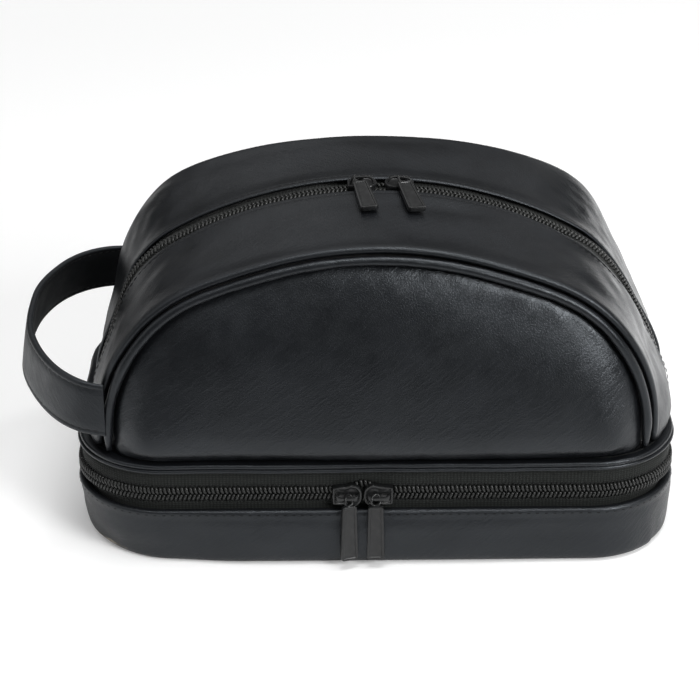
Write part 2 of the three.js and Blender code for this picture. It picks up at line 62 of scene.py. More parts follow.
# The footprint and the dome, as the CAD has them
BAG_WIDTH, BAG_DEPTH, CORNER = 267.0, 148.0, 40.0
STRAIGHT_X, STRAIGHT_Y = BAG_WIDTH / 2 - CORNER, BAG_DEPTH / 2 - CORNER
CORNER_ARC = CORNER * math.pi / 2
FRONT_CORNER_END = STRAIGHT_X + CORNER_ARC
SIDE_END = FRONT_CORNER_END + 2 * STRAIGHT_Y
REAR_CORNER_END = SIDE_END + CORNER_ARC
OUTLINE_HALF = REAR_CORNER_END + STRAIGHT_X
ZIP_END = REAR_CORNER_END + 8.0

TRAY_TOP, RIM_UNDERSIDE, RIM_TOP, DOME_FOOT = 26.5, 46.5, 50.5, 50.8
CHAIN_HEIGHT = TRAY_TOP + 7.0
LOWER_TAPE_INSET, TOP_TAPE_INSET = 4.3, 2.8
DOME_HEIGHT, STILT, CROWN_TURN = 99.0, 8.0, math.radians(25)
HALF_WIDTH, CREST_DEPTH, FOOT_INSET = 124.5, 57.0, 1.5
RADIUS_STEP = (HALF_WIDTH - DOME_HEIGHT + STILT) / (math.sin(CROWN_TURN) + math.cos(CROWN_TURN) - 1)
SHOULDER_RADIUS = HALF_WIDTH - RADIUS_STEP * math.sin(CROWN_TURN)
CROWN_RADIUS = SHOULDER_RADIUS + RADIUS_STEP
CROWN_LENGTH = CROWN_RADIUS * CROWN_TURN
SHOULDER_LENGTH = SHOULDER_RADIUS * (math.pi / 2 - CROWN_TURN)
ARCH_HALF = CROWN_LENGTH + SHOULDER_LENGTH + STILT
RIDGE_INSET, PIPING_INSET, PIPING_RADIUS, PANEL_INSET = 1.8, 7.7, 2.2, 10.0
# How far from the middle the arch is read for the ridge, the piping and the panel
RIDGE_Y, PIPING_Y, PANEL_Y = 60.0, 64.0, 74.0


def smoothstep(value, low, high):
    share = np.clip((value - low) / (high - low), 0, 1)
    return share * share * (3 - 2 * share)


def circle(count):
    """Evenly spaced angles round a full turn."""
    return np.linspace(0, 2 * math.pi, count + 1)[:-1]


def run_of(line):
    """The way along a line of points to each of them."""
    return np.append(0, np.cumsum(np.linalg.norm(np.diff(line, axis=0), axis=1)))


def on_line(at, run, line):
    """Points of a line at places along it. Its own points lie at the places in run."""
    return np.stack([np.interp(at, run, axis) for axis in line.T], -1)


def unit(vectors, slack=0.0):
    """Vectors at length one. Some slack keeps those without a length from a division by zero."""
    return vectors / (np.linalg.norm(vectors, axis=-1, keepdims=True) + slack)


def uv_grid(along, across):
    """UVs in metres for a grid, from its places along and across in millimetres."""
    return np.stack(np.meshgrid(along, across, indexing="ij"), -1) * MM


def outwards(grid):
    """Level unit steps away from the bag's middle."""
    return unit(grid[..., :2], 1e-6)


def footprint(along, inset, z):
    """Points on the outline, measured from the middle of the front and inwards."""
    along, inset, z = (np.array(v, float) for v in np.broadcast_arrays(along, inset, z))
    s, radius = np.abs(along), CORNER - inset
    front = np.clip((s - STRAIGHT_X) / CORNER, 0, math.pi / 2)
    rear = np.clip((s - SIDE_END) / CORNER, 0, math.pi / 2)
    on = [s <= STRAIGHT_X, s <= FRONT_CORNER_END, s <= SIDE_END, s <= REAR_CORNER_END]
    x = np.select(on, [s, STRAIGHT_X + radius * np.sin(front), BAG_WIDTH / 2 - inset,
                       STRAIGHT_X + radius * np.cos(rear)], STRAIGHT_X - (s - REAR_CORNER_END))
    y = np.select(on, [inset - BAG_DEPTH / 2, -STRAIGHT_Y - radius * np.cos(front),
                       s - FRONT_CORNER_END - STRAIGHT_Y, STRAIGHT_Y + radius * np.sin(rear)],
                  BAG_DEPTH / 2 - inset)
    return np.stack([x * np.where(along < 0, -1, 1), y, z], -1)


def spread(s, y):
    """How far the dome's ends stand out at their foot, to meet the rim."""
    past = np.clip(np.abs(y) - STRAIGHT_Y, 0, CORNER - 1e-6)
    rim_x = STRAIGHT_X + np.sqrt(CORNER ** 2 - past ** 2) - FOOT_INSET
    turned = np.clip((s - CROWN_LENGTH) / SHOULDER_RADIUS, 0, math.pi / 2 - CROWN_TURN)
    height = np.where(s < ARCH_HALF - STILT, STILT + SHOULDER_RADIUS * np.cos(CROWN_TURN + turned), ARCH_HALF - s)
    return np.maximum(rim_x - HALF_WIDTH, 0) * smoothstep(-height, -41.0, 0.0)


def fullness(along, y):
    """The dome is fuller towards the back and along the zip, and its front crest droops a little."""
    s = np.abs(along)
    share = s / ARCH_HALF
    fade = np.where(along > 0, smoothstep(share, 0.56, 0.82), smoothstep(share, 0.74, 1.0))
    shoulder = np.where(along > 0, 4.0, 4.6) * smoothstep(share, 0.0, 0.62) * (1 - fade)
    crown = 3.0 * (1 - smoothstep(share, 0.5, 0.72))
    along_zip = 1.2 * smoothstep(s, 84, 104) * (1 - smoothstep(s, 104, 145)) * np.exp(-(y / 36) ** 2)
    droop = 2.8 * (1 - smoothstep(s, 50, 116)) * smoothstep(-y, 8, 50)
    return (shoulder + crown) * smoothstep(y, 14, 52) + along_zip - droop


def sway(z, y, x):
    """Behind its front face the dome's lower part stands a little to the right."""
    at_foot = 1 - 0.3 * smoothstep(-z, -66, -52) * (x > 0)
    return np.where(x > 0, 2.3, 3.2) * at_foot * smoothstep(y, -58, -22) * smoothstep(-z, -112, -70)


def mouth(along, side):
    """How much further apart the lips of the upper zip's mouth stand on the shoulders."""
    reach = np.where(np.asarray(side) > 0, 1.5, np.where(np.asarray(along) > 0, 7.0, 4.6))
    return reach * smoothstep(np.abs(along), 45, 125)


def arch(along, inset, y):
    """Points on the dome's arch, measured from its top and inwards, at a depth y."""
    along, inset, y = (np.array(v, float) for v in np.broadcast_arrays(along, inset, y))
    s = np.abs(along)
    inset = inset - fullness(along, y)
    crown = s / CROWN_RADIUS
    shoulder = CROWN_TURN + (s - CROWN_LENGTH) / SHOULDER_RADIUS
    on = [s <= CROWN_LENGTH, s <= CROWN_LENGTH + SHOULDER_LENGTH]
    x = np.select(on, [(CROWN_RADIUS - inset) * np.sin(crown),
                       RADIUS_STEP * math.sin(CROWN_TURN) + (SHOULDER_RADIUS - inset) * np.sin(shoulder)],
                  HALF_WIDTH - inset)
    z = np.select(on, [DOME_FOOT + DOME_HEIGHT - CROWN_RADIUS + (CROWN_RADIUS - inset) * np.cos(crown),
                       DOME_FOOT + STILT + (SHOULDER_RADIUS - inset) * np.cos(shoulder)],
                  DOME_FOOT + ARCH_HALF - s)
    x = (x + spread(s, y)) * np.where(along < 0, -1, 1)
    x = x + sway(z, y, x)
    return np.stack([x, y, z], -1)


def face_depth(x, z):
    """How far in front of the middle the upright face stands."""
    past = np.clip(np.abs(x) - STRAIGHT_X, 0, CORNER - 1e-6)
    foot = STRAIGHT_Y + np.sqrt(CORNER ** 2 - past ** 2) - FOOT_INSET
    lean = np.maximum(1 - (z - DOME_FOOT) / DOME_HEIGHT, 0) ** 0.8
    return CREST_DEPTH + (foot - CREST_DEPTH) * lean


def foot_tuck(z, depth=3.2, height=3.0):
    """The dome's foot is drawn in where it is sewn to the rim."""
    return depth * np.exp(-((z - DOME_FOOT) / height) ** 2)


def unevenness(seed, count, shortest, longest):
    """A smooth, repeatable waviness of about unit size over points in millimetres."""
    rng = np.random.default_rng(seed)
    turn = unit(rng.normal(size=(count, 3)))
    length = np.exp(rng.uniform(math.log(shortest), math.log(longest), count))
    waves = turn * (2 * math.pi / length)[:, None]
    phase = rng.uniform(0, 2 * math.pi, count)
    gain = (length / longest) ** 0.7
    gain /= math.sqrt((gain ** 2).sum() / 2)
    return lambda points: (np.sin(points @ waves.T + phase) * gain).sum(-1)


# Meshes

def write_mesh(name, points, faces, corner_uv, material):
    mesh = bpy.data.meshes.new(name)
    mesh.from_pydata((points * MM).tolist(), [], faces)
    layer = mesh.uv_layers.new(name="UVMap")
    layer.data.foreach_set("uv", np.asarray(corner_uv, np.float32).ravel())
    mesh.polygons.foreach_set("use_smooth", np.ones(len(mesh.polygons), bool))
    mesh.materials.append(material)
    mesh.validate()
    piece = bpy.data.objects.new(name, mesh)
    bpy.context.scene.collection.objects.link(piece)
    return piece


def dress(piece, node=None, body=None):
    """Where given, says which CAD node a piece shows, by hiding that node, and which body it rides."""
    if node:
        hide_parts(node)
    if body:
        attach(piece, body)


def facing_out(points, faces):
    """True if the faces of a closed form turn outwards, by the sign of its volume."""
    volume = 0.0
    for face in faces:
        a = points[face[0]]
        for k in range(1, len(face) - 1):
            volume += float(np.dot(a, np.cross(points[face[k]], points[face[k + 1]])))
    return volume > 0


def quads(rows, columns, wrap_rows, wrap_columns):
    """A grid's faces, and the row and column that each starts at."""
    i, j = np.meshgrid(np.arange(rows - (not wrap_rows)), np.arange(columns - (not wrap_columns)), indexing="ij")
    i, j = i.ravel(), j.ravel()
    k, n = (i + 1) % rows, (j + 1) % columns
    return np.stack([i * columns + j, k * columns + j, k * columns + n, i * columns + n], 1).tolist(), i, j


def sweep(name, grid, material, wrap_along=False, wrap_across=True, uv=None):
    """A surface through rows of points. uv has a row and a column more where the grid wraps."""
    rows, columns = grid.shape[:2]
    points = grid.reshape(-1, 3)
    faces, i, j = quads(rows, columns, wrap_along, wrap_across)
    if uv is None:
        closed = np.concatenate([grid, grid[:, :1]], 1)
        closed = np.concatenate([closed, closed[:1]], 0)
        uv = uv_grid(run_of(closed[:, 0]), run_of(closed[rows // 2]))
    corners = np.stack([uv[i, j], uv[i + 1, j], uv[i + 1, j + 1], uv[i, j + 1]], 1).tolist()
    if wrap_across and not wrap_along:
        for row, turn in ((0, 1), (rows - 1, -1)):
            ring = [row * columns + k for k in range(columns)][::turn]
            faces.append(ring)
            corners.append([(points[k][[0, 2]] * MM).tolist() for k in ring])
    if not facing_out(points, faces):
        faces = [f[::-1] for f in faces]
        corners = [c[::-1] for c in corners]
    return write_mesh(name, points, faces, [pair for face in corners for pair in face], material)


def many(name, grid, material):
    """Many small closed tubes in one mesh: grid is (tubes, rows, sides, 3)."""
    tubes, rows, sides = grid.shape[:3]
    points = grid.reshape(-1, 3)
    faces = []
    for i in range(rows - 1):
        for j in range(sides):
            here, after, n = i * sides, (i + 1) * sides, (j + 1) % sides
            faces.append([here + j, here + n, after + n, after + j])
    faces += [list(range(sides))[::-1], [(rows - 1) * sides + j for j in range(sides)]]
    if not facing_out(points[:rows * sides], faces):
        faces = [f[::-1] for f in faces]
    every = [[v + t * rows * sides for v in face] for t in range(tubes) for face in faces]
    flat = points[:, [0, 2]] * MM
    corner_uv = [flat[v] for face in every for v in face]
    return write_mesh(name, points, every, corner_uv, material)


def thicken(section, thickness, taper=3):
    """Closes an open 2-D line, a sheet's outer side, with its inner side at a thickness."""
    step = unit(np.gradient(section, axis=-2), 1e-9)
    normal = np.stack([-step[..., 1], step[..., 0]], -1)
    count = section.shape[-2]
    ends = np.minimum(np.arange(count), np.arange(count)[::-1])
    share = np.sqrt(np.clip((ends + 0.35) / taper, 0, 1))[..., None]
    inner = section + normal * thickness * share
    return np.concatenate([section, inner[..., ::-1, :]], -2)


def through(points, count, smooth):
    """An evenly spaced line of count points through control points, rounded at its corners."""
    points = np.asarray(points, float)
    for _ in range(smooth):
        inner = np.stack([points[..., :-1, :] * 0.75 + points[..., 1:, :] * 0.25,
                          points[..., :-1, :] * 0.25 + points[..., 1:, :] * 0.75], -2)
        inner = inner.reshape(*points.shape[:-2], -1, points.shape[-1])
        points = np.concatenate([points[..., :1, :], inner, points[..., -1:, :]], -2)
    out = []
    for line in points.reshape(-1, *points.shape[-2:]):
        run = run_of(line)
        out.append(on_line(np.linspace(0, run[-1], count), run, line))
    return np.array(out).reshape(*points.shape[:-2], count, points.shape[-1])


def stations(half, step):
    """Places from -half to half, about a step apart."""
    return np.linspace(-half, half, int(round(2 * half / step)) + 1)


RING = np.linspace(-OUTLINE_HALF, OUTLINE_HALF, 321)[:-1]
ARCH = stations(ARCH_HALF, 2.3)


# Materials

def add_node(tree, kind, **values):
    """A node with its settings and its inputs' values, by their names with _ for a space."""
    node = tree.nodes.new(kind)
    for key, value in values.items():
        name = key.replace("_", " ")
        if name in node.inputs:
            node.inputs[name].default_value = value
        else:
            setattr(node, key, value)
    return node


def feed(tree, value, socket):
    """Puts a number or another node's output into a socket."""
    if isinstance(value, (int, float)):
        socket.default_value = value
    else:
        tree.links.new(value, socket)


def maths(tree, operation, a, b):
    node = add_node(tree, "ShaderNodeMath", operation=operation)
    feed(tree, a, node.inputs[0])
    feed(tree, b, node.inputs[1])
    return node.outputs[0]


def map_range(tree, value, low, high, to_low, to_high, kind="SMOOTHSTEP"):
    node = add_node(tree, "ShaderNodeMapRange", interpolation_type=kind,
                    From_Min=low, From_Max=high, To_Min=to_low, To_Max=to_high)
    tree.links.new(value, node.inputs["Value"])
    return node.outputs[0]


class Nodes:
    """Wires one material. Its methods take and give nodes' outputs."""

    def __init__(self, name):
        self.material = bpy.data.materials.new(name)
        self.material.use_nodes = True
        self.tree = self.material.node_tree
        self.tree.nodes.clear()
        self.shader = self.add("ShaderNodeBsdfPrincipled")
        self.link(self.shader.outputs["BSDF"], self.add("ShaderNodeOutputMaterial"), "Surface")
        self.normal = None

    def add(self, kind, **values):
        return add_node(self.tree, kind, **values)

    def link(self, output, node, socket):
        self.tree.links.new(output, node.inputs[socket])

    def coordinates(self, scale, turn=0.0):
        turned = self.add("ShaderNodeMapping", Rotation=(0, 0, turn))
        scaled = self.add("ShaderNodeMapping", Scale=scale)
        self.link(self.add("ShaderNodeUVMap", uv_map="UVMap").outputs["UV"], turned, "Vector")
        self.link(turned.outputs["Vector"], scaled, "Vector")
        return scaled.outputs["Vector"]

    def noise(self, scale, detail, turn=0.0, roughness=0.55):
        node = self.add("ShaderNodeTexNoise", Scale=1.0, Detail=detail, Roughness=roughness)
        self.link(self.coordinates(scale, turn), node, "Vector")
        return node.outputs["Fac"]

    def span(self, value, low, high, to_low=0.0, to_high=1.0):
        return map_range(self.tree, value, low, high, to_low, to_high, "LINEAR")

    def colours(self, factor, low, high):
        node = self.add("ShaderNodeMix", data_type="RGBA")
        node.inputs[6].default_value = (*low, 1)
        node.inputs[7].default_value = (*high, 1)
        self.link(factor, node, 0)
        self.link(node.outputs[2], self.shader, "Base Color")

    def shading(self, **values):
        for key, value in values.items():
            feed(self.tree, value, self.shader.inputs[key.replace("_", " ")])

    def bump(self, height, distance, strength):
        """Adds relief over the relief so far."""
        node = self.add("ShaderNodeBump", Distance=distance, Strength=strength)
        self.link(height, node, "Height")
        if self.normal is not None:
            self.link(self.normal, node, "Normal")
        self.normal = node.outputs["Normal"]
        self.link(self.normal, self.shader, "Normal")


# The slant of the leather's creases on the front panel
CREASE_TURN = math.radians(-38)
LEATHER_LOW, LEATHER_HIGH = (0.004, 0.0044, 0.0052), (0.0082, 0.009, 0.0107)


def leather(name, crease, rough=(0.29, 0.4), low=LEATHER_LOW, high=LEATHER_HIGH, ior=1.5):
    """Coated leather: fine pebbled grain, faint slanting creases and soft changes of sheen."""
    n = Nodes(name)
    n.colours(n.span(n.noise((28, 28, 28), 3), 0.3, 0.7), low, high)
    n.shading(Roughness=n.span(n.noise((90, 90, 90), 4), 0.3, 0.7, *rough), IOR=ior)
    n.shader.inputs["Specular Tint"].default_value = (0.87, 0.935, 1, 1)
    cells = n.add("ShaderNodeTexVoronoi", feature="DISTANCE_TO_EDGE", Scale=1.0, Randomness=1.0)
    n.link(n.coordinates((950, 950, 950)), cells, "Vector")
    folds = n.noise((90, 560, 100), 5, CREASE_TURN, 0.7)
    n.bump(n.span(cells.outputs["Distance"], 0.0, 0.22), 0.00006, 0.55)
    n.bump(n.noise((2600, 2600, 2600), 3), 0.00003, 0.5)
    n.bump(n.span(folds, 0.46, 0.7), 0.00013, 0.7 * crease)
    n.bump(n.noise((120, 230, 120), 4, CREASE_TURN, 0.6), 0.00022, 0.5 * crease)
    return n.material


def woven(name, low, high, pitch, rough=0.85, height=0.00008):
    """Plain or ribbed cloth: threads along and across at a pitch in metres."""
    n = Nodes(name)
    # a wave texture at scale 1 repeats every 0.31416
    period = 0.31416
    threads = []
    for axis, scale in (("X", (period / pitch[0], 0.0, 0.0)), ("Y", (0.0, period / pitch[1], 0.0))):
        wave = n.add("ShaderNodeTexWave", bands_direction=axis, Scale=1.0, Distortion=0.6)
        n.link(n.coordinates(scale), wave, "Vector")
        threads.append(wave.outputs["Fac"])
    fibre = maths(n.tree, "MULTIPLY", n.noise((900, 900, 900), 4), 0.5)
    mixed = maths(n.tree, "ADD", maths(n.tree, "MULTIPLY", *threads), fibre)
    n.colours(n.span(mixed, 0.1, 1.2), low, high)
    n.shading(Roughness=rough, Specular_IOR_Level=0.3, Sheen_Weight=0.1, Sheen_Roughness=0.4)
    n.bump(mixed, height, 0.8)
    return n.material


def plastic(name, low, high):
    n = Nodes(name)
    spots = n.noise((700, 700, 700), 3)
    n.colours(n.span(spots, 0.3, 0.7), low, high)
    n.shading(Roughness=n.span(spots, 0.3, 0.7, 0.3, 0.45))
    n.bump(n.noise((2500, 2500, 2500), 2), 0.00002, 0.4)
    return n.material


def lacquer(name, low, high):
    """Black lacquered zinc: fine specks, slightly brighter worn spots and a thin clear coat."""
    n = Nodes(name)
    wear = n.noise((260, 260, 260), 5, roughness=0.7)
    n.colours(n.span(wear, 0.45, 0.75), low, high)
    n.shading(Roughness=n.span(wear, 0.3, 0.7, 0.3, 0.42), Metallic=0.35, Coat_Weight=0.35, Coat_Roughness=0.2)
    n.bump(n.noise((3200, 3200, 3200), 2), 0.00002, 0.5)
    return n.material


def cardboard(name, low, high):
    n = Nodes(name)
    fibres = n.noise((300, 60, 300), 5, roughness=0.7)
    n.colours(n.span(fibres, 0.3, 0.7), low, high)
    n.shading(Roughness=0.9)
    n.bump(fibres, 0.00015, 0.6)
    return n.material


BODY_LEATHER = leather("bag_leather", crease=0.85)
GUSSET_LEATHER = leather("gusset_leather", crease=0.5, rough=(0.3, 0.42))
TRIM_LEATHER = leather("trim_leather", crease=0.25, rough=(0.28, 0.36))
# Painted shade: a darker, duller copy of the strap leather for the strap's inner face, which lies in shade
STRAP_SHADED_INNER = leather("strap_inner_painted_shade", crease=0.4, rough=(0.6, 0.75), low=(0.0015, 0.0016, 0.0018),
                     high=(0.003, 0.0032, 0.0035), ior=1.35)
STRAP_LEATHER = leather("strap_leather", crease=0.7, rough=(0.38, 0.5))
TAPE = woven("zip_tape_cloth", (0.004, 0.0048, 0.0042), (0.025, 0.028, 0.026), (0.0015, 0.001), height=0.00012)
LINING = woven("lining_cloth", (0.006, 0.006, 0.0065), (0.02, 0.02, 0.021), (0.0005, 0.0005), 0.75)
COIL = plastic("zip_coil_nylon", (0.008, 0.0085, 0.008), (0.022, 0.023, 0.022))
THREAD = woven("sewing_thread", (0.008, 0.008, 0.008), (0.036, 0.037, 0.039), (0.0004, 0.0004), 0.7)
# Painted shade: a darker thread for the tray's hem stands in for the shade in its sunken stitch holes
HEM_THREAD_SHADED = woven("hem_thread_painted_shade", (0.001, 0.001, 0.001), (0.005, 0.005, 0.005), (0.0004, 0.0004), 0.9)
METAL = lacquer("black_metal", (0.011, 0.0115, 0.012), (0.026, 0.027, 0.028))
BOARD = cardboard("stiffener_board", (0.2, 0.18, 0.15), (0.3, 0.275, 0.23))

# The two boards keep their CAD form and only get a material
for board in ("base_board", "divider_board"):
    mesh = nodes[board].data
    if not mesh.uv_layers:
        layer = mesh.uv_layers.new(name="UVMap")
        flat = [mesh.vertices[loop.vertex_index].co.xy[:] for loop in mesh.loops]
        layer.data.foreach_set("uv", np.array(flat, np.float32).ravel())
    else:
        mesh.uv_layers[0].name = "UVMap"
    mesh.materials.clear()
    mesh.materials.append(BOARD)


def stitches(name, place, starts, material, length, radius, lift=0.05):
    """Thread dashes along a line that place(along, across, out) gives, each sunk at its ends."""
    t = np.linspace(-1, 1, 7)
    theta = circle(6)
    width = radius * np.sqrt(np.clip(1.02 - t ** 4, 0, 1))
    dip = -radius * 1.2 * np.abs(t) ** 3 + lift
    along = starts[:, None, None] + length / 2 * t[None, :, None]
    across = width[None, :, None] * np.cos(theta)
    out = dip[None, :, None] + width[None, :, None] * np.sin(theta)
    return many(name, place(*np.broadcast_arrays(along, across, out)), material)


# Tray and cloths

# Flat parts run to this inset, and from there straight to their middle
POLE_INSET = 38


def to_middle(z, count):
    """Rows of points that close the ring at a height over its middle, from the middle outwards."""
    return [footprint(RING, POLE_INSET, z) * np.array([s, s, 1]) for s in np.linspace(0, 1, count)[:-1]]


def swell_tray(grid, outer):
    """The tray's wall swells in the middle of each side and is uneven. Its foot is drawn in at the left and
    stands out at the front."""
    wave = unevenness(11, 14, 28, 110)
    fine = unevenness(12, 10, 9, 22)
    face_swell, end_swell = 2.0, 1.2
    x, y, z = np.moveaxis(grid, -1, 0)
    swell = outer * np.sin(np.clip(z / TRAY_TOP, 0, 1) * math.pi) ** 0.8
    front = np.clip(1 - (x / 110) ** 2, 0, 1) * np.sign(y)
    end = np.clip(1 - (y / 45) ** 2, 0, 1) * np.sign(x)
    on_face, on_end = np.abs(y) > 70, np.abs(x) > 128
    y += swell * on_face * front * face_swell
    x += swell * on_end * end * end_swell
    low = outer * smoothstep(-z, -16, -1)
    left_front = smoothstep(-x, 60, 124) * smoothstep(-y, 20, 64)
    x += 1.8 * low * left_front + 1.7 * smoothstep(-x, 70, 130) * smoothstep(-z, -26, -14)
    y += low * (2.4 * left_front - 1.3 * (y < -60) * smoothstep(x, -95, -60))
    grid[..., :2] += outwards(grid) * (swell * (0.45 * wave(grid) + 0.12 * fine(grid)))[..., None]


def tray():
    """Wall and bottom in one shell: bottom, outer wall, turned-in hem, inner wall, floor."""
    floor, floor_inset, outer_rows, hem_drop = 2.4, 7, 52, 1.9
    section = through([(5.0, 0.0), (3.4, 0.05), (2.2, 0.7), (1.3, 1.7), (0.55, 3.2), (0.25, 9.0), (0.05, 15.0),
                       (0.0, 20.0), (0.15, 22.4), (-0.15, 24.4), (-0.2, 25.8), (0.3, 26.5), (1.2, 26.75),
                       (2.6, 26.6), (3.7, 26.0), (4.0, 24.6), (4.0, 19.5), (3.9, 16.0), (3.9, 3.2),
                       (5.2, floor)], 90, 2)
    insets = np.linspace(POLE_INSET, floor_inset, 8)
    rows = to_middle(0.0, 10) + [footprint(RING, inset, 0.0) for inset in insets]
    start = len(rows)
    rows += [footprint(RING, inset, z) for inset, z in section]
    rows += [footprint(RING, inset, floor) for inset in insets[::-1]] + to_middle(floor, 10)[::-1]
    grid = np.stack(rows, 1)
    outer = np.zeros(grid.shape[1])
    outer[start:start + outer_rows] = 1
    swell_tray(grid, outer)
    round_ring = np.append(RING, OUTLINE_HALF)
    uv = uv_grid(round_ring, run_of(grid[len(RING) // 2]))
    piece = sweep("tray_leather", grid, BODY_LEATHER, wrap_along=True, wrap_across=False, uv=uv)
    dress(piece, "base_tray", "base")

    # the stitches follow the swollen wall, a little under its top
    rising = section[:int(np.argmax(section[:, 1])), 1]
    row = start + int(np.argmin(np.abs(rising - (TRAY_TOP - hem_drop))))
    wall = np.vstack([grid[:, row], grid[:1, row]])

    def hem(along, across, out):
        return on_line(along, round_ring, wall) + footprint(along, -out, across) - footprint(along, 0.0, 0.0)

    starts = np.arange(-OUTLINE_HALF + 2, OUTLINE_HALF - 2, 3.8)
    # the hem's darker thread is painted shade of the sunken stitch line
    thread = stitches("tray_hem_stitches", hem, starts, HEM_THREAD_SHADED, length=2.7, radius=0.32, lift=-0.2)
    dress(thread, body="base")


def ring_cloth(name, node, body, rows, wobble, seed):
    """A cloth that closes over its middle: rows of (inset, height) from pole to pole."""
    grid = to_middle(rows[0][1], 9)
    grid += [footprint(RING, inset, z) for inset, z in rows]
    grid += to_middle(rows[-1][1], 9)[::-1]
    grid = np.stack(grid, 1)
    grid[..., 2] += wobble * unevenness(seed, 12, 12, 60)(grid)
    uv = np.stack([grid[..., 0], grid[..., 1] + grid[..., 2]], -1) * MM
    uv = np.concatenate([uv, uv[:1]], 0)
    piece = sweep(name, grid, LINING, wrap_along=True, wrap_across=False, uv=uv)
    dress(piece, node, body)


def cloths():
    inset, floor, top, thickness = 5.8, 5.0, 24.5, 0.75
    outside = [(POLE_INSET, floor), (25, floor), (14, floor), (8, floor), (6.4, floor + 0.2), (inset, floor + 0.9)]
    outside += [(inset, z) for z in np.linspace(floor + 2.5, top, 9)]
    inside = [(i + thickness, z) for i, z in outside[:4:-1]]
    inside += [(i, floor + thickness) for i in (8.5, 14, 25, POLE_INSET)]
    ring_cloth("tray_lining_cloth", "base_lining", "base", outside + inside, 0.06, 21)
    insets = (POLE_INSET, 28, 18, 10, 6.6, 5.9)
    for name, node, low, high in (("divider_cloth_below", "divider_lower_cloth", 46.6, 47.2),
                                  ("divider_cloth_above", "divider_upper_cloth", 49.8, 50.4)):
        rows = [(i, low) for i in insets] + [(i, high) for i in insets[::-1]]
        ring_cloth(name, node, "upper", rows, 0.03, 22)


# Rim between the compartments: two folded edges with a groove between them

def rim():
    lower = np.radians(np.linspace(-90, 76, 10))
    upper = np.radians(np.linspace(-76, 90, 10))
    line = [(4.2, 45.3), (2.6, 45.2)]
    line += [(1.4 - 1.3 * math.cos(a), 46.2 + 1.05 * math.sin(a)) for a in lower]
    line += [(1.4 - 1.4 * math.cos(a), 48.45 + 1.1 * math.sin(a)) for a in upper]
    line += [(2.6, 49.5), (4.0, 49.6), (6.5, 49.9), (6.6, 48.0), (5.0, 46.5)]
    section = np.array(line)
    wave = unevenness(31, 12, 14, 70)
    grid = np.stack([footprint(RING, inset, z) for inset, z in section], 1)
    grid[..., :2] += outwards(grid) * 0.16 * wave(grid)[..., None]
    grid[..., 2] += 0.1 * wave(grid[..., [1, 0, 2]] + 40)
    # round the bag's ends the upper fold is drawn in
    ends = smoothstep(np.abs(grid[..., 0]), 112, 131) * smoothstep(grid[..., 2], 46.6, 48.0)
    grid[..., 0] -= 0.9 * ends * np.sign(grid[..., 0])
    uv = uv_grid(np.append(RING, OUTLINE_HALF), run_of(np.vstack([section, section[:1]])))
    piece = sweep("rim_welt", grid, TRIM_LEATHER, wrap_along=True, uv=uv)
    dress(piece, "rim_piping", "upper")


# Zips

COIL_PITCH = 1.9


def lower_zip(along, across, out):
    """The lower zip's own place. Round the bag's ends it bulges out between the hem and the rim."""
    s = np.abs(along)
    bulge = 2.5 * smoothstep(s, 100, 150) * (1 - smoothstep(s, 230, 262))
    bulge = bulge * smoothstep(across, -7.2, -2.5) * (1 - smoothstep(across, 7.5, 12.5))
    return footprint(along, LOWER_TAPE_INSET - out - bulge, CHAIN_HEIGHT + across)


def top_zip(along, across, out):
    """The upper zip's own place. On the shoulders it is pulled flat, level with its lips."""
    lips = 7.0 + mouth(along, np.where(np.asarray(across) > 0, 1, -1))
    s = np.abs(along)
    rise = 1.5 * smoothstep(s, 84, 122) * (1 - smoothstep(s, 140, 166)) * np.maximum(1 - (across / lips) ** 2, 0)
    return arch(along, TOP_TAPE_INSET - out - rise, across)


def tape(name, node, place, half, side, reach):
    """One woven tape, from just off the chain's middle out to its reach."""
    along = stations(half, 2.4)
    line = through([(0.05, -0.35), (0.1, 0.0), (1.2, 0.02), (reach / 2, 0.05), (reach, 0.0)], 22, 1)
    section = thicken(line, -0.75, 2)
    across, out = section[:, 0], section[:, 1]
    grid = place(along[:, None], side * across[None, :], out[None, :])
    lift = 0.12 * unevenness(41, 10, 9, 40)(grid) * smoothstep(across, 2, 6)[None, :]
    grid = place(along[:, None], side * across[None, :], out[None, :] + lift)
    piece = sweep(name, grid, TAPE, uv=uv_grid(along, np.append(across, across[0])))
    dress(piece, node)
    return piece


def coil(name, node, place, half, side, shift, gap_at, gap):
    """One row of a nylon coil: slanting beads that meet the other row's, but for a gap by the sliders."""
    starts = np.arange(-half + shift * COIL_PITCH, half, COIL_PITCH)
    # a bead as (along, across, out), from its foot on the tape to its head
    path = np.array([(-0.5, 3.45, 0.3), (-0.42, 3.2, 0.85), (-0.22, 2.4, 1.25), (0.05, 1.4, 1.35),
                     (0.35, 0.55, 1.25), (0.5, 0.05, 0.9)])
    width = np.array([0.5, 0.58, 0.62, 0.64, 0.62, 0.45])[None, :, None]
    theta = circle(8)
    opened = gap * np.exp(-((starts - gap_at) / 5.2) ** 2)
    along = starts[:, None, None] + path[None, :, 0, None] + width * np.cos(theta)
    across = side * (path[None, :, 1, None] + opened[:, None, None])
    out = path[None, :, 2, None] + 0.62 * width * np.sin(theta)
    piece = many(name, place(*np.broadcast_arrays(along, across, out)), COIL)
    dress(piece, node)
    return piece


def coil_thread(name, place, half, side):
    """The sewing line that holds a coil to its tape."""
    return stitches(name, lambda along, across, out: place(along, side * (3.75 + across), 0.12 + out),
                    np.arange(-half, half, 2.1), THREAD, length=1.6, radius=0.24)


def zip_side(name, nodes_start, place, half, side, reach, gap, gap_at, cut):
    """A tape with its coil, which ends a cut before it does, and its thread."""
    shift = 0 if side < 0 else 0.5
    return [tape(f"{name}_tape", f"{nodes_start}_zip_tape", place, half, side, reach),
            coil(f"{name}_coil", f"{nodes_start}_zip_teeth", place, half - cut, side, shift, gap_at, gap),
            coil_thread(f"{name}_thread", place, half - cut, side)]


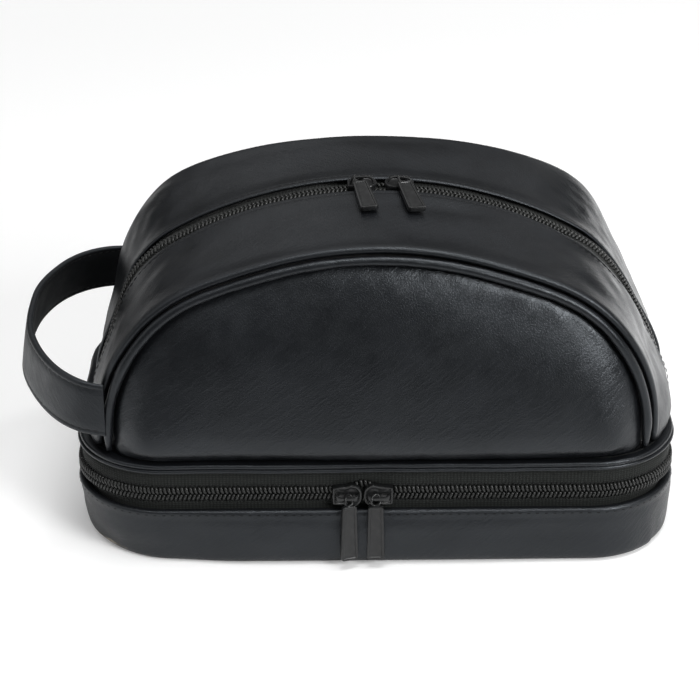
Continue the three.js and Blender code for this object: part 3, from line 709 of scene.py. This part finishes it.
def lower_zips():
    for word, body, side, reach, gap in (("base", "base", -1, 14.0, 0.9), ("lid", "upper", 1, 16.2, 3.3)):
        for part in zip_side(f"lower_zip_{word}", word, lower_zip, ZIP_END, side, reach, gap, gap_at=-6.0, cut=4):
            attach(part, body)


def half_bend(piece):
    """Bakes the place of a part of the upper bag's front or rear half into its mesh."""
    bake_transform(piece)


def top_zips():
    for half, side in (("front", -1), ("rear", 1)):
        for part in zip_side(f"{half}_top", half, top_zip, ARCH_HALF, side, reach=18.0, gap=1.6, gap_at=3.4, cut=8):
            half_bend(part)


# Upper bag

def half_shell(half, part, grid, material, uv):
    """One leather or cloth shell of the upper bag's front or rear half."""
    stuff, slot = ("cloth", "lining") if material is LINING else ("leather", "leather")
    piece = sweep(f"{half}_{part}_{stuff}", grid, material, uv=uv)
    dress(piece, f"{half}_{part}")
    half_bend(piece)


def gusset(half, side):
    """The leather between the zip and the piping, over the dome's round ridge."""
    thickness, stitched_at = 2.1, 10.0
    corner = arch(ARCH, RIDGE_INSET, side * RIDGE_Y)
    ridge = face_depth(corner[:, 0], corner[:, 2]) - foot_tuck(corner[:, 2])
    wider = mouth(ARCH, side)
    # (inset, behind the ridge) from the piping over the ridge, then (inset, y) on to the zip's lip
    turned = np.array([(5.7, -2.6), (5.3, -1.3), (4.7, -0.45), (3.6, 0.1), (2.5, -0.2), (1.85, -1.3),
                       (1.6, -3.2), (1.6, -7.0)])
    level = np.array([(1.2, 46.0), (0.55, 36.0), (0.2, 26.0), (0.05, 17.0), (0.0, 11.5), (-0.1, 8.2),
                      (0.1, 7.0), (0.9, 6.6)])
    with_mouth = np.array([0, 0.05, 0.2, 0.5, 0.85, 1, 1, 1])
    line = np.zeros((len(ARCH), len(turned) + len(level), 2))
    line[..., 0] = np.append(turned[:, 0], level[:, 0])
    line[..., 1] = np.hstack([ridge[:, None] + turned[:, 1], level[:, 1] + wider[:, None] * with_mouth])
    closed = thicken(through(line, 72, 2), thickness)
    inset, y = closed[..., 0], closed[..., 1]
    along = np.broadcast_to(ARCH[:, None], inset.shape)
    grid = arch(along, inset, side * y)
    wave = unevenness(51 + (side > 0), 16, 24, 110)
    pleat = unevenness(53 + (side > 0), 10, 8, 18)
    free = smoothstep(y, 9, 22) * smoothstep(-y, -60, -46)
    shoulder = smoothstep(np.abs(along), 55, 110)
    sag = 0.7 * free * (1 - 0.5 * shoulder)
    stitch = 0.22 * np.exp(-((y - stitched_at - wider[:, None]) / 0.7) ** 2)
    push = sag + stitch - free * 0.5 * wave(grid) - free * shoulder * 0.12 * pleat(grid)
    foot = foot_tuck(grid[..., 2], 1.0, 2.2) * smoothstep(-y, -62, -50)
    grid = arch(along, inset + push + foot, side * y)
    middle = closed[len(ARCH) // 2]
    uv = uv_grid(ARCH, np.append(run_of(middle), run_of(middle)[-1] + 1))
    half_shell(half, "gusset", grid, GUSSET_LEATHER, uv)

    def seam(along, across, out):
        return arch(along, 0.2 - out, side * (stitched_at + mouth(along, side) + across))

    starts = np.arange(-ARCH_HALF + 3, ARCH_HALF - 3, 3.4)
    thread = stitches(f"{half}_gusset_stitches", seam, starts, THREAD, length=2.4, radius=0.2, lift=-0.06)
    dress(thread)
    half_bend(thread)


def panel(half, side):
    """The crowned face inside the piping, in rows from its foot line up to the arch."""
    thickness, lip_in = 2.1, 1.0
    edge = arch(ARCH, PANEL_INSET, side * PANEL_Y)
    foot_x = edge[:, 0] * 0.86
    v = 1 - (1 - np.linspace(0, 1, 64)) ** 1.25
    x = foot_x[:, None] + (edge[:, 0] - foot_x)[:, None] * v
    z = DOME_FOOT + (edge[:, 2] - DOME_FOOT)[:, None] * v
    up = z - DOME_FOOT
    height = up / DOME_HEIGHT
    span = np.hypot(edge[:, 0] - foot_x, edge[:, 2] - DOME_FOOT)[:, None] * (1 - v)
    centre = x / (np.abs(edge[:, 0]).max())
    share = np.clip(np.hypot(centre, height * DOME_HEIGHT / (DOME_HEIGHT - PANEL_INSET)), 0, 1)
    bulge = 3.0 * height * (1 - share ** 2) + 1.3 * (1 - share ** 4) * smoothstep(up, 0, 14)
    # the panel rises steeply from the piping, and falls back to the rim along its foot
    steeper = 1 + 1.3 * np.exp(-(up / 16.0) ** 2)
    drop = 1.2 * np.exp(-(span / 1.9) ** 1.6) + 2.4 - 7.0 * (1 - np.exp(-(span * steeper / 19) ** 1.2))
    corner = 1 - 0.7 * np.exp(-(span / 9.0) ** 2)
    drop += 1.6 * corner * np.exp(-(up / 9.0) ** 1.5)
    flat = np.stack([x, np.zeros_like(x), z], -1)
    wave = unevenness(61 + (side > 0), 14, 34, 120)
    pucker = unevenness(63 + (side > 0), 14, 7, 15)
    by_seam = np.exp(-(span / 7.0)) + 0.8 * np.exp(-(up / 7.0))
    uneven = 0.55 * wave(flat) * smoothstep(span, 0, 12)
    uneven += 0.14 * pucker(flat) * by_seam * smoothstep(span, 0, 1.5)
    depth = face_depth(x, z) - foot_tuck(z, 3.6, 3.3) * corner + bulge - drop + uneven
    outer = np.stack([x, side * depth, z], -1)
    inner = np.stack([x, side * (depth - thickness), z], -1)
    lip = np.stack([x[:, -1:], side * (depth[:, -1:] - lip_in), z[:, -1:]], -1)
    lip[..., 0] *= 1.003
    grid = np.concatenate([outer, lip, inner[:, ::-1]], 1)
    uv = np.stack([grid[..., 0], grid[..., 2]], -1) * MM
    uv = np.concatenate([uv, uv[:, :1]], 1)
    half_shell(half, "panel", grid, BODY_LEATHER, uv)


def piping(half, side):
    """The leather piping: a cord under a thin skin, thinner towards its two ends at the rim."""
    s = stations(ARCH_HALF, 1.6)
    theta = circle(18)
    centre = arch(s, PIPING_INSET, side * PIPING_Y)
    depth = face_depth(centre[:, 0], centre[:, 2]) - foot_tuck(centre[:, 2], 1.6, 2.4)
    wave = unevenness(71 + (side > 0), 12, 5, 30)
    ends = smoothstep(np.abs(s), ARCH_HALF - 14, ARCH_HALF)
    radius = PIPING_RADIUS * (1 + 0.045 * wave(centre)) * (1 - 0.4 * ends)
    inset = PIPING_INSET - radius[:, None] * np.cos(theta)
    y = (depth - 0.75 - 1.3 * ends)[:, None] + radius[:, None] * np.sin(theta)
    grid = arch(np.broadcast_to(s[:, None], inset.shape), inset, side * y)
    uv = uv_grid(s, np.append(theta, 2 * math.pi) * PIPING_RADIUS)
    half_shell(half, "piping", grid, TRIM_LEATHER, uv)


def lining(half, side):
    """The cloth inside a half: up behind the face, then back under the gusset to the zip."""
    inset, behind, lip_y, thickness = 5.6, 5.3, 8.0, 0.7
    face_rows, start = 30, DOME_FOOT + 0.2
    edge = arch(ARCH, inset, side * PANEL_Y)
    foot_x = edge[:, 0] * 0.88
    v = np.linspace(0, 1, face_rows)
    x = foot_x[:, None] + (edge[:, 0] - foot_x)[:, None] * v
    z = start + (edge[:, 2] - start)[:, None] * v
    y = face_depth(x, z) - behind - foot_tuck(z, 2.0, 2.6)
    level_y = y[:, -1:] + (lip_y - y[:, -1:]) * np.linspace(0, 1, 20)[1:]
    level = arch(ARCH[:, None], inset, side * level_y)
    outer = np.concatenate([np.stack([x, side * y, z], -1), level], 1)
    ripple = 0.35 * unevenness(81 + (side > 0), 16, 14, 70)(outer)
    # inwards is back from the face, and over the gusset towards the inside's middle
    inwards = np.zeros_like(outer)
    inwards[:, :face_rows, 1] = -side
    towards = unit(np.stack([-outer[..., 0], 0 * outer[..., 0], DOME_FOOT + 20 - outer[..., 2]], -1))
    turn = smoothstep(np.arange(outer.shape[1]), 26, 33)[None, :, None]
    inwards = unit(inwards * (1 - turn) + towards * turn, 1e-9)
    outer = outer + inwards * (0.4 + ripple)[..., None]
    inner = outer + inwards * thickness
    grid = np.concatenate([outer, inner[:, ::-1]], 1)
    run = run_of(outer[len(ARCH) // 2])
    half_shell(half, "lining", grid, LINING, uv_grid(ARCH, np.concatenate([run, run[::-1], run[:1]])))


# Hinge strip and carry strap

def hinge_strip():
    half_width, inner_y, middle_z = 85, 69.7, 34.5
    x = np.linspace(-half_width, half_width, 72)
    # (height, out) from the tray's wall to the rim, fuller in the middle where it folds
    line = through([(19.6, 0.0), (25.0, 0.1), (29.5, 1.1), (middle_z, 1.7), (40.5, 1.1), (46.0, 0.1), (50.0, 0.0)],
                   40, 2)
    closed = thicken(line, -1.2)
    grid = np.stack(np.broadcast_arrays(x[:, None], inner_y + closed[:, 1], closed[:, 0]), -1)
    grid[..., 1] += 0.25 * unevenness(91, 12, 12, 60)(grid) * np.exp(-((grid[..., 2] - middle_z) / 8) ** 2)
    piece = sweep("hinge_strip_leather", grid, BODY_LEATHER)
    dress(piece, "rear_hinge_strip")
    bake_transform(piece)


def strap_bend(piece):
    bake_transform(piece)


def strap():
    """A flat leather loop with edge folds, from the front seam round to the back seam."""
    seam, stand, width, seam_z, seam_foot_z, count = 117.6, 39.0, 23.0, 76.4, 62.0, 121
    middle, h = count // 2, width / 2
    turn = np.linspace(-math.pi / 2, math.pi / 2, count)
    reach = float(face_depth(seam, seam_foot_z)) + 1.2
    tucked = smoothstep(turn, 0.7, 1.5)
    path = np.stack([-seam - stand * np.cos(turn) + 3.6 * tucked, reach * np.sin(turn),
                     seam_z + 4.2 * np.sin(turn) + 4.8 * np.cos(turn)], -1)
    step = unit(np.gradient(path, axis=0))
    out = np.stack([-step[:, 1], step[:, 0], 0 * turn], -1)
    if out[middle, 0] > 0:
        out = -out
    end = smoothstep(np.abs(turn), math.pi / 2 - 0.32, math.pi / 2 - 0.05)
    half_t = 1.5 * (1 - 0.35 * end)
    # its section as (up, out), with out as a share of half_t: a welt along each edge, set off by a groove
    outer = [(-h, 0.0), (-h + 0.25, 0.65), (-h + 1.0, 0.98), (-h + 1.9, 0.98), (-h + 2.25, 0.84), (-h + 2.6, 0.98),
             (-6, 1.06)]
    inner = [(h - 0.25, -0.65), (h - 1.0, -0.98), (h - 1.9, -0.98), (h - 2.25, -0.86), (h - 2.6, -0.98), (6, -1.0)]
    ring = np.array([(-h + 0.25, -0.6), *outer, (0, 1.1), *((-up, o) for up, o in outer[::-1]),
                     *inner, (0, -1.0), *((-up, o) for up, o in inner[:0:-1])])
    groove, inner_side = h - 2.25, slice(17, 27)
    widen = 1 + 0.09 * smoothstep(-turn, 0.3, 1.2) - 0.07 * tucked
    tilt = 0.16 * np.cos(turn) + 0.2 * smoothstep(turn, 0.1, 1.0) * np.cos(turn)
    bowed = 0.5 * unevenness(101, 10, 25, 90)(path) * np.cos(turn) ** 0.5
    off = ring[None, :, 1] * half_t[:, None] + bowed[:, None] - ring[None, :, 0] * tilt[:, None]
    grid = path[:, None] + out[:, None] * off[..., None]
    grid[..., 2] += ring[None, :, 0] * widen[:, None]
    run = run_of(path)
    uv = uv_grid(run, run_of(np.vstack([ring, ring[:1]])))

    def dashes(along, edge, face):
        """Thread dashes in one of the strap's grooves: edge is up or down, face out or in."""
        t = np.linspace(-1, 1, 5)
        s = along[:, None] + 1.2 * t
        lift = np.interp(s, run, bowed) + face * 0.86 * np.interp(s, run, half_t)
        lift -= edge * groove * np.interp(s, run, tilt)
        point, normal = on_line(s, run, path), on_line(s, run, out)
        point += normal * lift[..., None]
        point[..., 2] += edge * groove * np.interp(s, run, widen)
        theta = circle(6)
        radius = 0.24 * np.sqrt(np.clip(1.02 - t ** 4, 0, 1))[:, None]
        dash = point[:, :, None] + normal[:, :, None] * (radius * np.sin(theta))[None, ..., None]
        dash[..., 2] += radius * np.cos(theta)
        return dash

    for half, side, rows in (("front", -1, slice(0, middle + 1)), ("rear", 1, slice(middle, count))):
        piece = sweep(f"strap_{half}", grid[rows], STRAP_LEATHER, uv=uv[rows])
        # the faces on the strap's inner side take the darker copy of the leather, as painted shade
        piece.data.materials.append(STRAP_SHADED_INNER)
        painted_shade_faces = np.zeros(len(piece.data.polygons), np.int32)
        painted_shade_faces[:middle * len(ring)].reshape(middle, len(ring))[:, inner_side] = 1
        piece.data.polygons.foreach_set("material_index", painted_shade_faces)
        sharpen(piece, 60)
        dress(piece, "carry_strap" if half == "front" else None)
        strap_bend(piece)
        along = np.arange(run[rows][0] + 4, run[rows][-1] - 3, 3.4)
        lines = [dashes(along, edge, face) for edge in (-1, 1) for face in (-1, 1)]
        thread = many(f"strap_{half}_stitches", np.concatenate(lines), THREAD)
        dress(thread)
        strap_bend(thread)


# Sliders and pulls

SLIDER_LENGTH, SLIDER_WIDTH, PIN_HEIGHT, PULL_REACH = 13.0, 10.6, 6.0, 29.0
# how far under its pin each zip's pull tab starts
TAB_TOP = {"lower": 3.3, "top": 5.0}


def slider_mesh():
    """Body with X to its nose, Y across the chain and Z out of it: a shield with a raised edge."""
    shares = [(-0.5, 0.34), (-0.46, 0.39), (-0.05, 0.44), (0.14, 0.52), (0.32, 0.47), (0.46, 0.3), (0.5, 0.12)]
    half = [(x * SLIDER_LENGTH, y * SLIDER_WIDTH) for x, y in shares]
    outline = np.array(half + [(x, -y) for x, y in half[::-1]])
    for _ in range(3):
        after = np.roll(outline, -1, axis=0)
        outline = np.stack([outline * 0.8 + after * 0.2, outline * 0.2 + after * 0.8], 1).reshape(-1, 2)
    length = np.linalg.norm(outline, axis=1, keepdims=True)

    def loop(step, z):
        """The outline drawn in by a step, at a height."""
        return np.column_stack([outline * (1 - step / length), np.broadcast_to(z, len(outline))])

    def pole(z):
        return np.tile([0.0, 0.0, z], (len(outline), 1))

    # the underside is open over the chain, between two cheeks
    low = 0.45 + 1.9 * smoothstep(-np.abs(outline[:, 1]), -4.1, -3.5)
    side = [(1.2, np.maximum(2.45, low)), (1.0, low + 0.1), (0.75, low), (0.2, low), (0, low + 0.25), (0, 3.1),
            (0.08, 3.5), (0.3, 3.78), (0.65, 3.85), (1.0, 3.78), (1.2, 3.5), (1.4, 3.4), (2.6, 3.42)]
    body = np.stack([pole(2.5), loop(2.6, 2.5)] + [loop(step, z) for step, z in side] + [pole(3.45)], 1)
    line = through([(-5.0, 3.2), (-4.9, 4.6), (-4.3, 5.9), (-2.8, 6.35), (0, 6.4), (2.8, 6.35), (4.2, 5.9),
                    (4.9, 4.6), (5.2, 3.2)], 26, 2)
    step = unit(np.gradient(line, axis=0))
    theta = circle(12)
    wide, high = (np.sign(f(theta)) * np.abs(f(theta)) ** 0.6 for f in (np.cos, np.sin))
    bridge = np.zeros((len(line), len(theta), 3))
    bridge[..., 0] = line[:, None, 0] - 0.5 * step[:, None, 1] * high
    bridge[..., 1] = (0.85 + 0.55 * smoothstep(np.abs(line[:, 0]), 2.6, 4.8))[:, None] * wide
    bridge[..., 2] = line[:, None, 1] + 0.5 * step[:, None, 0] * high - 0.25
    return body, bridge


def wire(path, radius):
    """A ring of wire along a closed path."""
    step = unit(np.roll(path, -1, axis=0) - np.roll(path, 1, axis=0))
    side = unit(np.cross(step, (0, 0, 1.0)))
    theta = circle(10)[None, :, None]
    return path[:, None] + radius * (side[:, None] * np.cos(theta) + np.cross(side, step)[:, None] * np.sin(theta))


def pull_mesh(tab_top):
    """Pull with its pin along X at the origin and its tab towards -Y: a raised border, both sides."""
    t, recess, field_middle = 2.4 / 2, 0.42, -16
    eye_far, eye_half_width, wire_radius = 1.4, 2.0, 0.56

    def loop(inset, z):
        """The tab's rounded outline drawn in by an inset, at a height."""
        radius = max(1.3 - inset, 0.25)
        top, bottom = -tab_top - inset, -PULL_REACH + inset
        wide_top, wide_bottom = 3.35 - inset, 3.95 - inset
        corners = []
        for x, y, start in ((wide_bottom, bottom, -90), (wide_top, top, 0), (-wide_top, top, 90),
                            (-wide_bottom, bottom, 180)):
            cx = x - math.copysign(radius, x)
            cy = y + radius if y == bottom else y - radius
            corners += [(cx + radius * math.cos(a), cy + radius * math.sin(a), z)
                        for a in np.radians(np.linspace(start, start + 90, 7))]
        return np.array(corners)

    def pole(z):
        return np.tile([0.0, field_middle, z], (28, 1))

    front = [(1.55, t - recess), (1.35, t - 0.38), (1.2, t - 0.1), (1.05, t), (0.45, t), (0.15, t - 0.12),
             (0.0, t - 0.45)]
    rows = [pole(t - recess), loop(2.2, t - recess)] + [loop(inset, z) for inset, z in front]
    rows += [loop(inset, -z) for inset, z in front[::-1]] + [loop(2.2, recess - t), pole(recess - t)]
    a = circle(32)
    half = (eye_far + tab_top + 0.2) / 2
    eye = np.stack([eye_half_width * np.sin(a), half * np.cos(a) + eye_far - half, 0 * a], -1)
    eye[:, 2] = -0.5 * eye[:, 0] * smoothstep(eye[:, 1], -tab_top, -1.2) - 1.3 * smoothstep(eye[:, 1], -0.2, 1.4)
    return np.stack(rows, 1), wire(eye, wire_radius)


def join_grids(name, grids, place, material):
    """One mesh from several grids, each (rows, columns) with its own wraps, moved by place."""
    points, faces, count = [], [], 0
    for grid, wrap_rows, wrap_columns in grids:
        rows, columns = grid.shape[:2]
        flat = grid.reshape(-1, 3)
        own = quads(rows, columns, wrap_rows, wrap_columns)[0]
        if not wrap_rows and wrap_columns:
            own.append(list(range(columns)))
            own.append([(rows - 1) * columns + j for j in range(columns)][::-1])
        if not facing_out(flat, own):
            own = [face[::-1] for face in own]
        faces += [[v + count for v in face] for face in own]
        points.append(flat)
        count += len(flat)
    local = np.concatenate(points)
    uvs = [(local[v][:2] + local[v][2] * 0.7) * MM for face in faces for v in face]
    world = (np.array(place)[:3, :3] @ local.T).T + np.array(place)[:3, 3]
    return write_mesh(name, world, faces, uvs, material)


def clean(piece):
    """Merges the points that fall together at poles, so that they shade smoothly."""
    mesh = bmesh.new()
    mesh.from_mesh(piece.data)
    bmesh.ops.remove_doubles(mesh, verts=mesh.verts, dist=1e-6)
    mesh.to_mesh(piece.data)
    mesh.free()


def sharpen(piece, degrees=38):
    """Keeps the edges that turn by more than an angle crisp."""
    piece.data.set_sharp_from_angle(angle=math.radians(degrees))


def metal_piece(name, grids, place, node):
    piece = join_grids(name, grids, place, METAL)
    clean(piece)
    sharpen(piece)
    dress(piece, node, node)


# Each slider's way along its zip, and how its pull lies on it: leaned out from the zip, turned on it (yaw),
# turned on its own length (twist) and slipped along its pin, in millimetres and degrees
REST_LEAN = math.degrees(math.asin(3.0 / PULL_REACH))
LIES = {
    ("lower", "left"): dict(along=-13.4, lean=math.degrees(-0.12), yaw=0.0, twist=20.0, slip=0.7),
    ("lower", "right"): dict(along=0.2, lean=math.degrees(-0.09), yaw=0.0, twist=-1.0, slip=-1.2),
    ("top", "left"): dict(along=-5.8, lean=REST_LEAN, yaw=9.0, twist=0.0, slip=-1.7),
    ("top", "right"): dict(along=10.6, lean=REST_LEAN, yaw=12.0, twist=0.0, slip=0.9),
}


def carrier(zip_name, along):
    """A slider's place on its zip, with X along the chain and Z out of it."""
    if zip_name == "lower":
        spot, turn = footprint(along, LOWER_TAPE_INSET, CHAIN_HEIGHT), Matrix.Rotation(math.pi / 2, 4, "X")
    else:
        spot, turn = arch(along, TOP_TAPE_INSET, 0.0), Matrix.Rotation(along / CROWN_RADIUS, 4, "Y")
    return Matrix.Translation(Vector(spot)) @ turn


def sliders():
    body, bridge = slider_mesh()
    for (zip_name, word), lie in LIES.items():
        tab, eye = pull_mesh(TAB_TOP[zip_name])
        place = carrier(zip_name, lie["along"])
        # the nose of the left one points right, and the other way round
        nose = place @ Matrix.Rotation(0 if word == "left" else math.pi, 4, "Z")
        metal_piece(f"{zip_name}_slider_body_{word}", [(body, True, False), (bridge, False, True)], nose,
                    f"{zip_name}_slider_{word}")
        hang = place @ Matrix.Translation((lie["slip"], 0, PIN_HEIGHT))
        for angle, axis in (("lean", "X"), ("yaw", "Z"), ("twist", "Y")):
            hang = hang @ Matrix.Rotation(math.radians(lie[angle]), 4, axis)
        metal_piece(f"{zip_name}_pull_tab_{word}", [(tab, True, False), (eye, True, True)], hang,
                    f"{zip_name}_pull_{word}")


tray()
cloths()
rim()
lower_zips()
top_zips()
for half_name, half_side in (("front", -1), ("rear", 1)):
    gusset(half_name, half_side)
    panel(half_name, half_side)
    piping(half_name, half_side)
    lining(half_name, half_side)
hinge_strip()
strap()
sliders()

# Studio

def link_in(piece):
    bpy.context.scene.collection.objects.link(piece)
    return piece


def floor():
    """A pale floor. The dark leather shows what it mirrors, so each side of the floor has its own tone for
    all rays but the camera's: dimmer in front and behind at the left, shining behind at the right and past
    the ends. The camera sees it pale, and white far out."""
    half = 6.0
    mesh = bpy.data.meshes.new("studio_floor")
    mesh.from_pydata([(-half, -half, 0), (half, -half, 0), (half, half, 0), (-half, half, 0)], [], [(0, 1, 2, 3)])
    material = bpy.data.materials.new("studio_floor")
    material.use_nodes = True
    mesh.materials.append(material)
    tree = material.node_tree
    tree.nodes.clear()
    place = add_node(tree, "ShaderNodeTexCoord").outputs["Object"]
    parts = add_node(tree, "ShaderNodeSeparateXYZ")
    distance = add_node(tree, "ShaderNodeVectorMath", operation="LENGTH")
    for node in (parts, distance):
        tree.links.new(place, node.inputs[0])
    rays = add_node(tree, "ShaderNodeLightPath")

    def share(axis, *spans):
        return map_range(tree, parts.outputs[axis], *spans)

    def product(a, b):
        return maths(tree, "MULTIPLY", a, b)

    def by_ray(mirrored, seen, socket):
        """Feeds one value to the camera's rays and another to the rest."""
        node = add_node(tree, "ShaderNodeMix", data_type="FLOAT")
        for value, own in ((rays.outputs["Is Camera Ray"], 0), (mirrored, 2), (seen, 3)):
            feed(tree, value, node.inputs[own])
        tree.links.new(node.outputs[0], socket)

    diffuse = add_node(tree, "ShaderNodeBsdfDiffuse")
    front = share("Y", -0.45, -0.13, 0.2, 1.0)
    behind_left = product(share("Y", 0.05, 0.2, 0.0, 1.0), share("X", -0.15, 0.05, 0.7, 0.0))
    tone = product(product(front, maths(tree, "SUBTRACT", 1.0, behind_left)), 0.85)
    by_ray(tone, 0.86, diffuse.inputs["Color"])
    glow = add_node(tree, "ShaderNodeEmission")
    behind_right = product(share("Y", 0.06, 0.22, 0.0, 1.0), share("X", -0.02, 0.16, 0.0, 0.85))
    ends = maths(tree, "ADD", share("X", -0.27, -0.17, 0.38, 0.0), share("X", 0.16, 0.24, 0.0, 0.2))
    shine = maths(tree, "ADD", behind_right, product(ends, share("Y", -0.3, -0.1, 0.0, 1.0)))
    far = map_range(tree, distance.outputs["Value"], 0.5, 2.6, 0.19, 0.95)
    by_ray(shine, far, glow.inputs["Strength"])
    both = add_node(tree, "ShaderNodeAddShader")
    tree.links.new(diffuse.outputs[0], both.inputs[0])
    tree.links.new(glow.outputs[0], both.inputs[1])
    tree.links.new(both.outputs[0], add_node(tree, "ShaderNodeOutputMaterial").inputs["Surface"])
    link_in(bpy.data.objects.new("studio_floor", mesh))


def world():
    """White to the camera. For all other rays it is dim at the horizon and brighter overhead."""
    sky = bpy.data.worlds.new("studio_world")
    bpy.context.scene.world = sky
    sky.use_nodes = True
    tree = sky.node_tree
    tree.nodes.clear()
    parts = add_node(tree, "ShaderNodeSeparateXYZ")
    tree.links.new(add_node(tree, "ShaderNodeTexCoord").outputs["Generated"], parts.inputs[0])
    dim, white = (add_node(tree, "ShaderNodeBackground", Color=(1, 1, 1, 1)) for _ in range(2))
    tree.links.new(map_range(tree, parts.outputs["Z"], 0.35, 1.0, 0.07, 0.8), dim.inputs["Strength"])
    mix = add_node(tree, "ShaderNodeMixShader")
    camera_ray = add_node(tree, "ShaderNodeLightPath").outputs["Is Camera Ray"]
    for k, value in enumerate((camera_ray, dim.outputs[0], white.outputs[0])):
        tree.links.new(value, mix.inputs[k])
    tree.links.new(mix.outputs[0], add_node(tree, "ShaderNodeOutputWorld").inputs["Surface"])


def softbox(name, place, aim, size, power):
    light = bpy.data.lights.new(name, "AREA")
    light.shape = "RECTANGLE"
    light.size, light.size_y = size
    light.energy = power
    lamp = link_in(bpy.data.objects.new(name, light))
    lamp.location = place
    lamp.rotation_mode = "QUATERNION"
    lamp.rotation_quaternion = (Vector(aim) - Vector(place)).to_track_quat("-Z", "Y")


floor()
world()
softbox("key_right", (0.92, -1.08, 0.88), (0.05, 0.0, 0.09), (0.58, 0.58), 18.0)
softbox("overhead", (0.22, -0.2, 1.5), (0.08, 0.0, 0.08), (1.3, 0.26), 10.5)
softbox("behind_left", (-0.6, 1.6, 1.3), (-0.1, 0.2, 0.0), (0.8, 0.5), 0.7)
softbox("behind_right", (0.85, 1.5, 0.85), (0.05, 0.0, 0.12), (0.45, 0.35), 0.3)
softbox("fill_left", (-1.3, -0.3, 0.6), (0.0, 0.0, 0.06), (0.8, 0.8), 1.5)


def camera():
    """The photograph's view, solved from the bag's outline in the picture."""
    tilt, turn, distance = 0.47, -0.015, 1.0
    focal_px, picture_px = 2185.0, 700
    aim = Vector((-0.0111, 0, 0.0676))
    back = Vector((math.sin(turn) * math.cos(tilt), -math.cos(turn) * math.cos(tilt), math.sin(tilt)))
    right = Vector((math.cos(turn), math.sin(turn), 0))
    data = bpy.data.cameras.new("camera")
    data.sensor_width = 36.0
    data.lens = focal_px / picture_px * data.sensor_width
    data.clip_start, data.clip_end = 0.05, 30.0
    piece = link_in(bpy.data.objects.new("camera", data))
    turned = Matrix((right, back.cross(right), back)).transposed().to_4x4()
    piece.matrix_world = Matrix.Translation(aim + back * distance) @ turned
    bpy.context.scene.camera = piece


camera()
bpy.context.scene.view_settings.view_transform = "Standard"
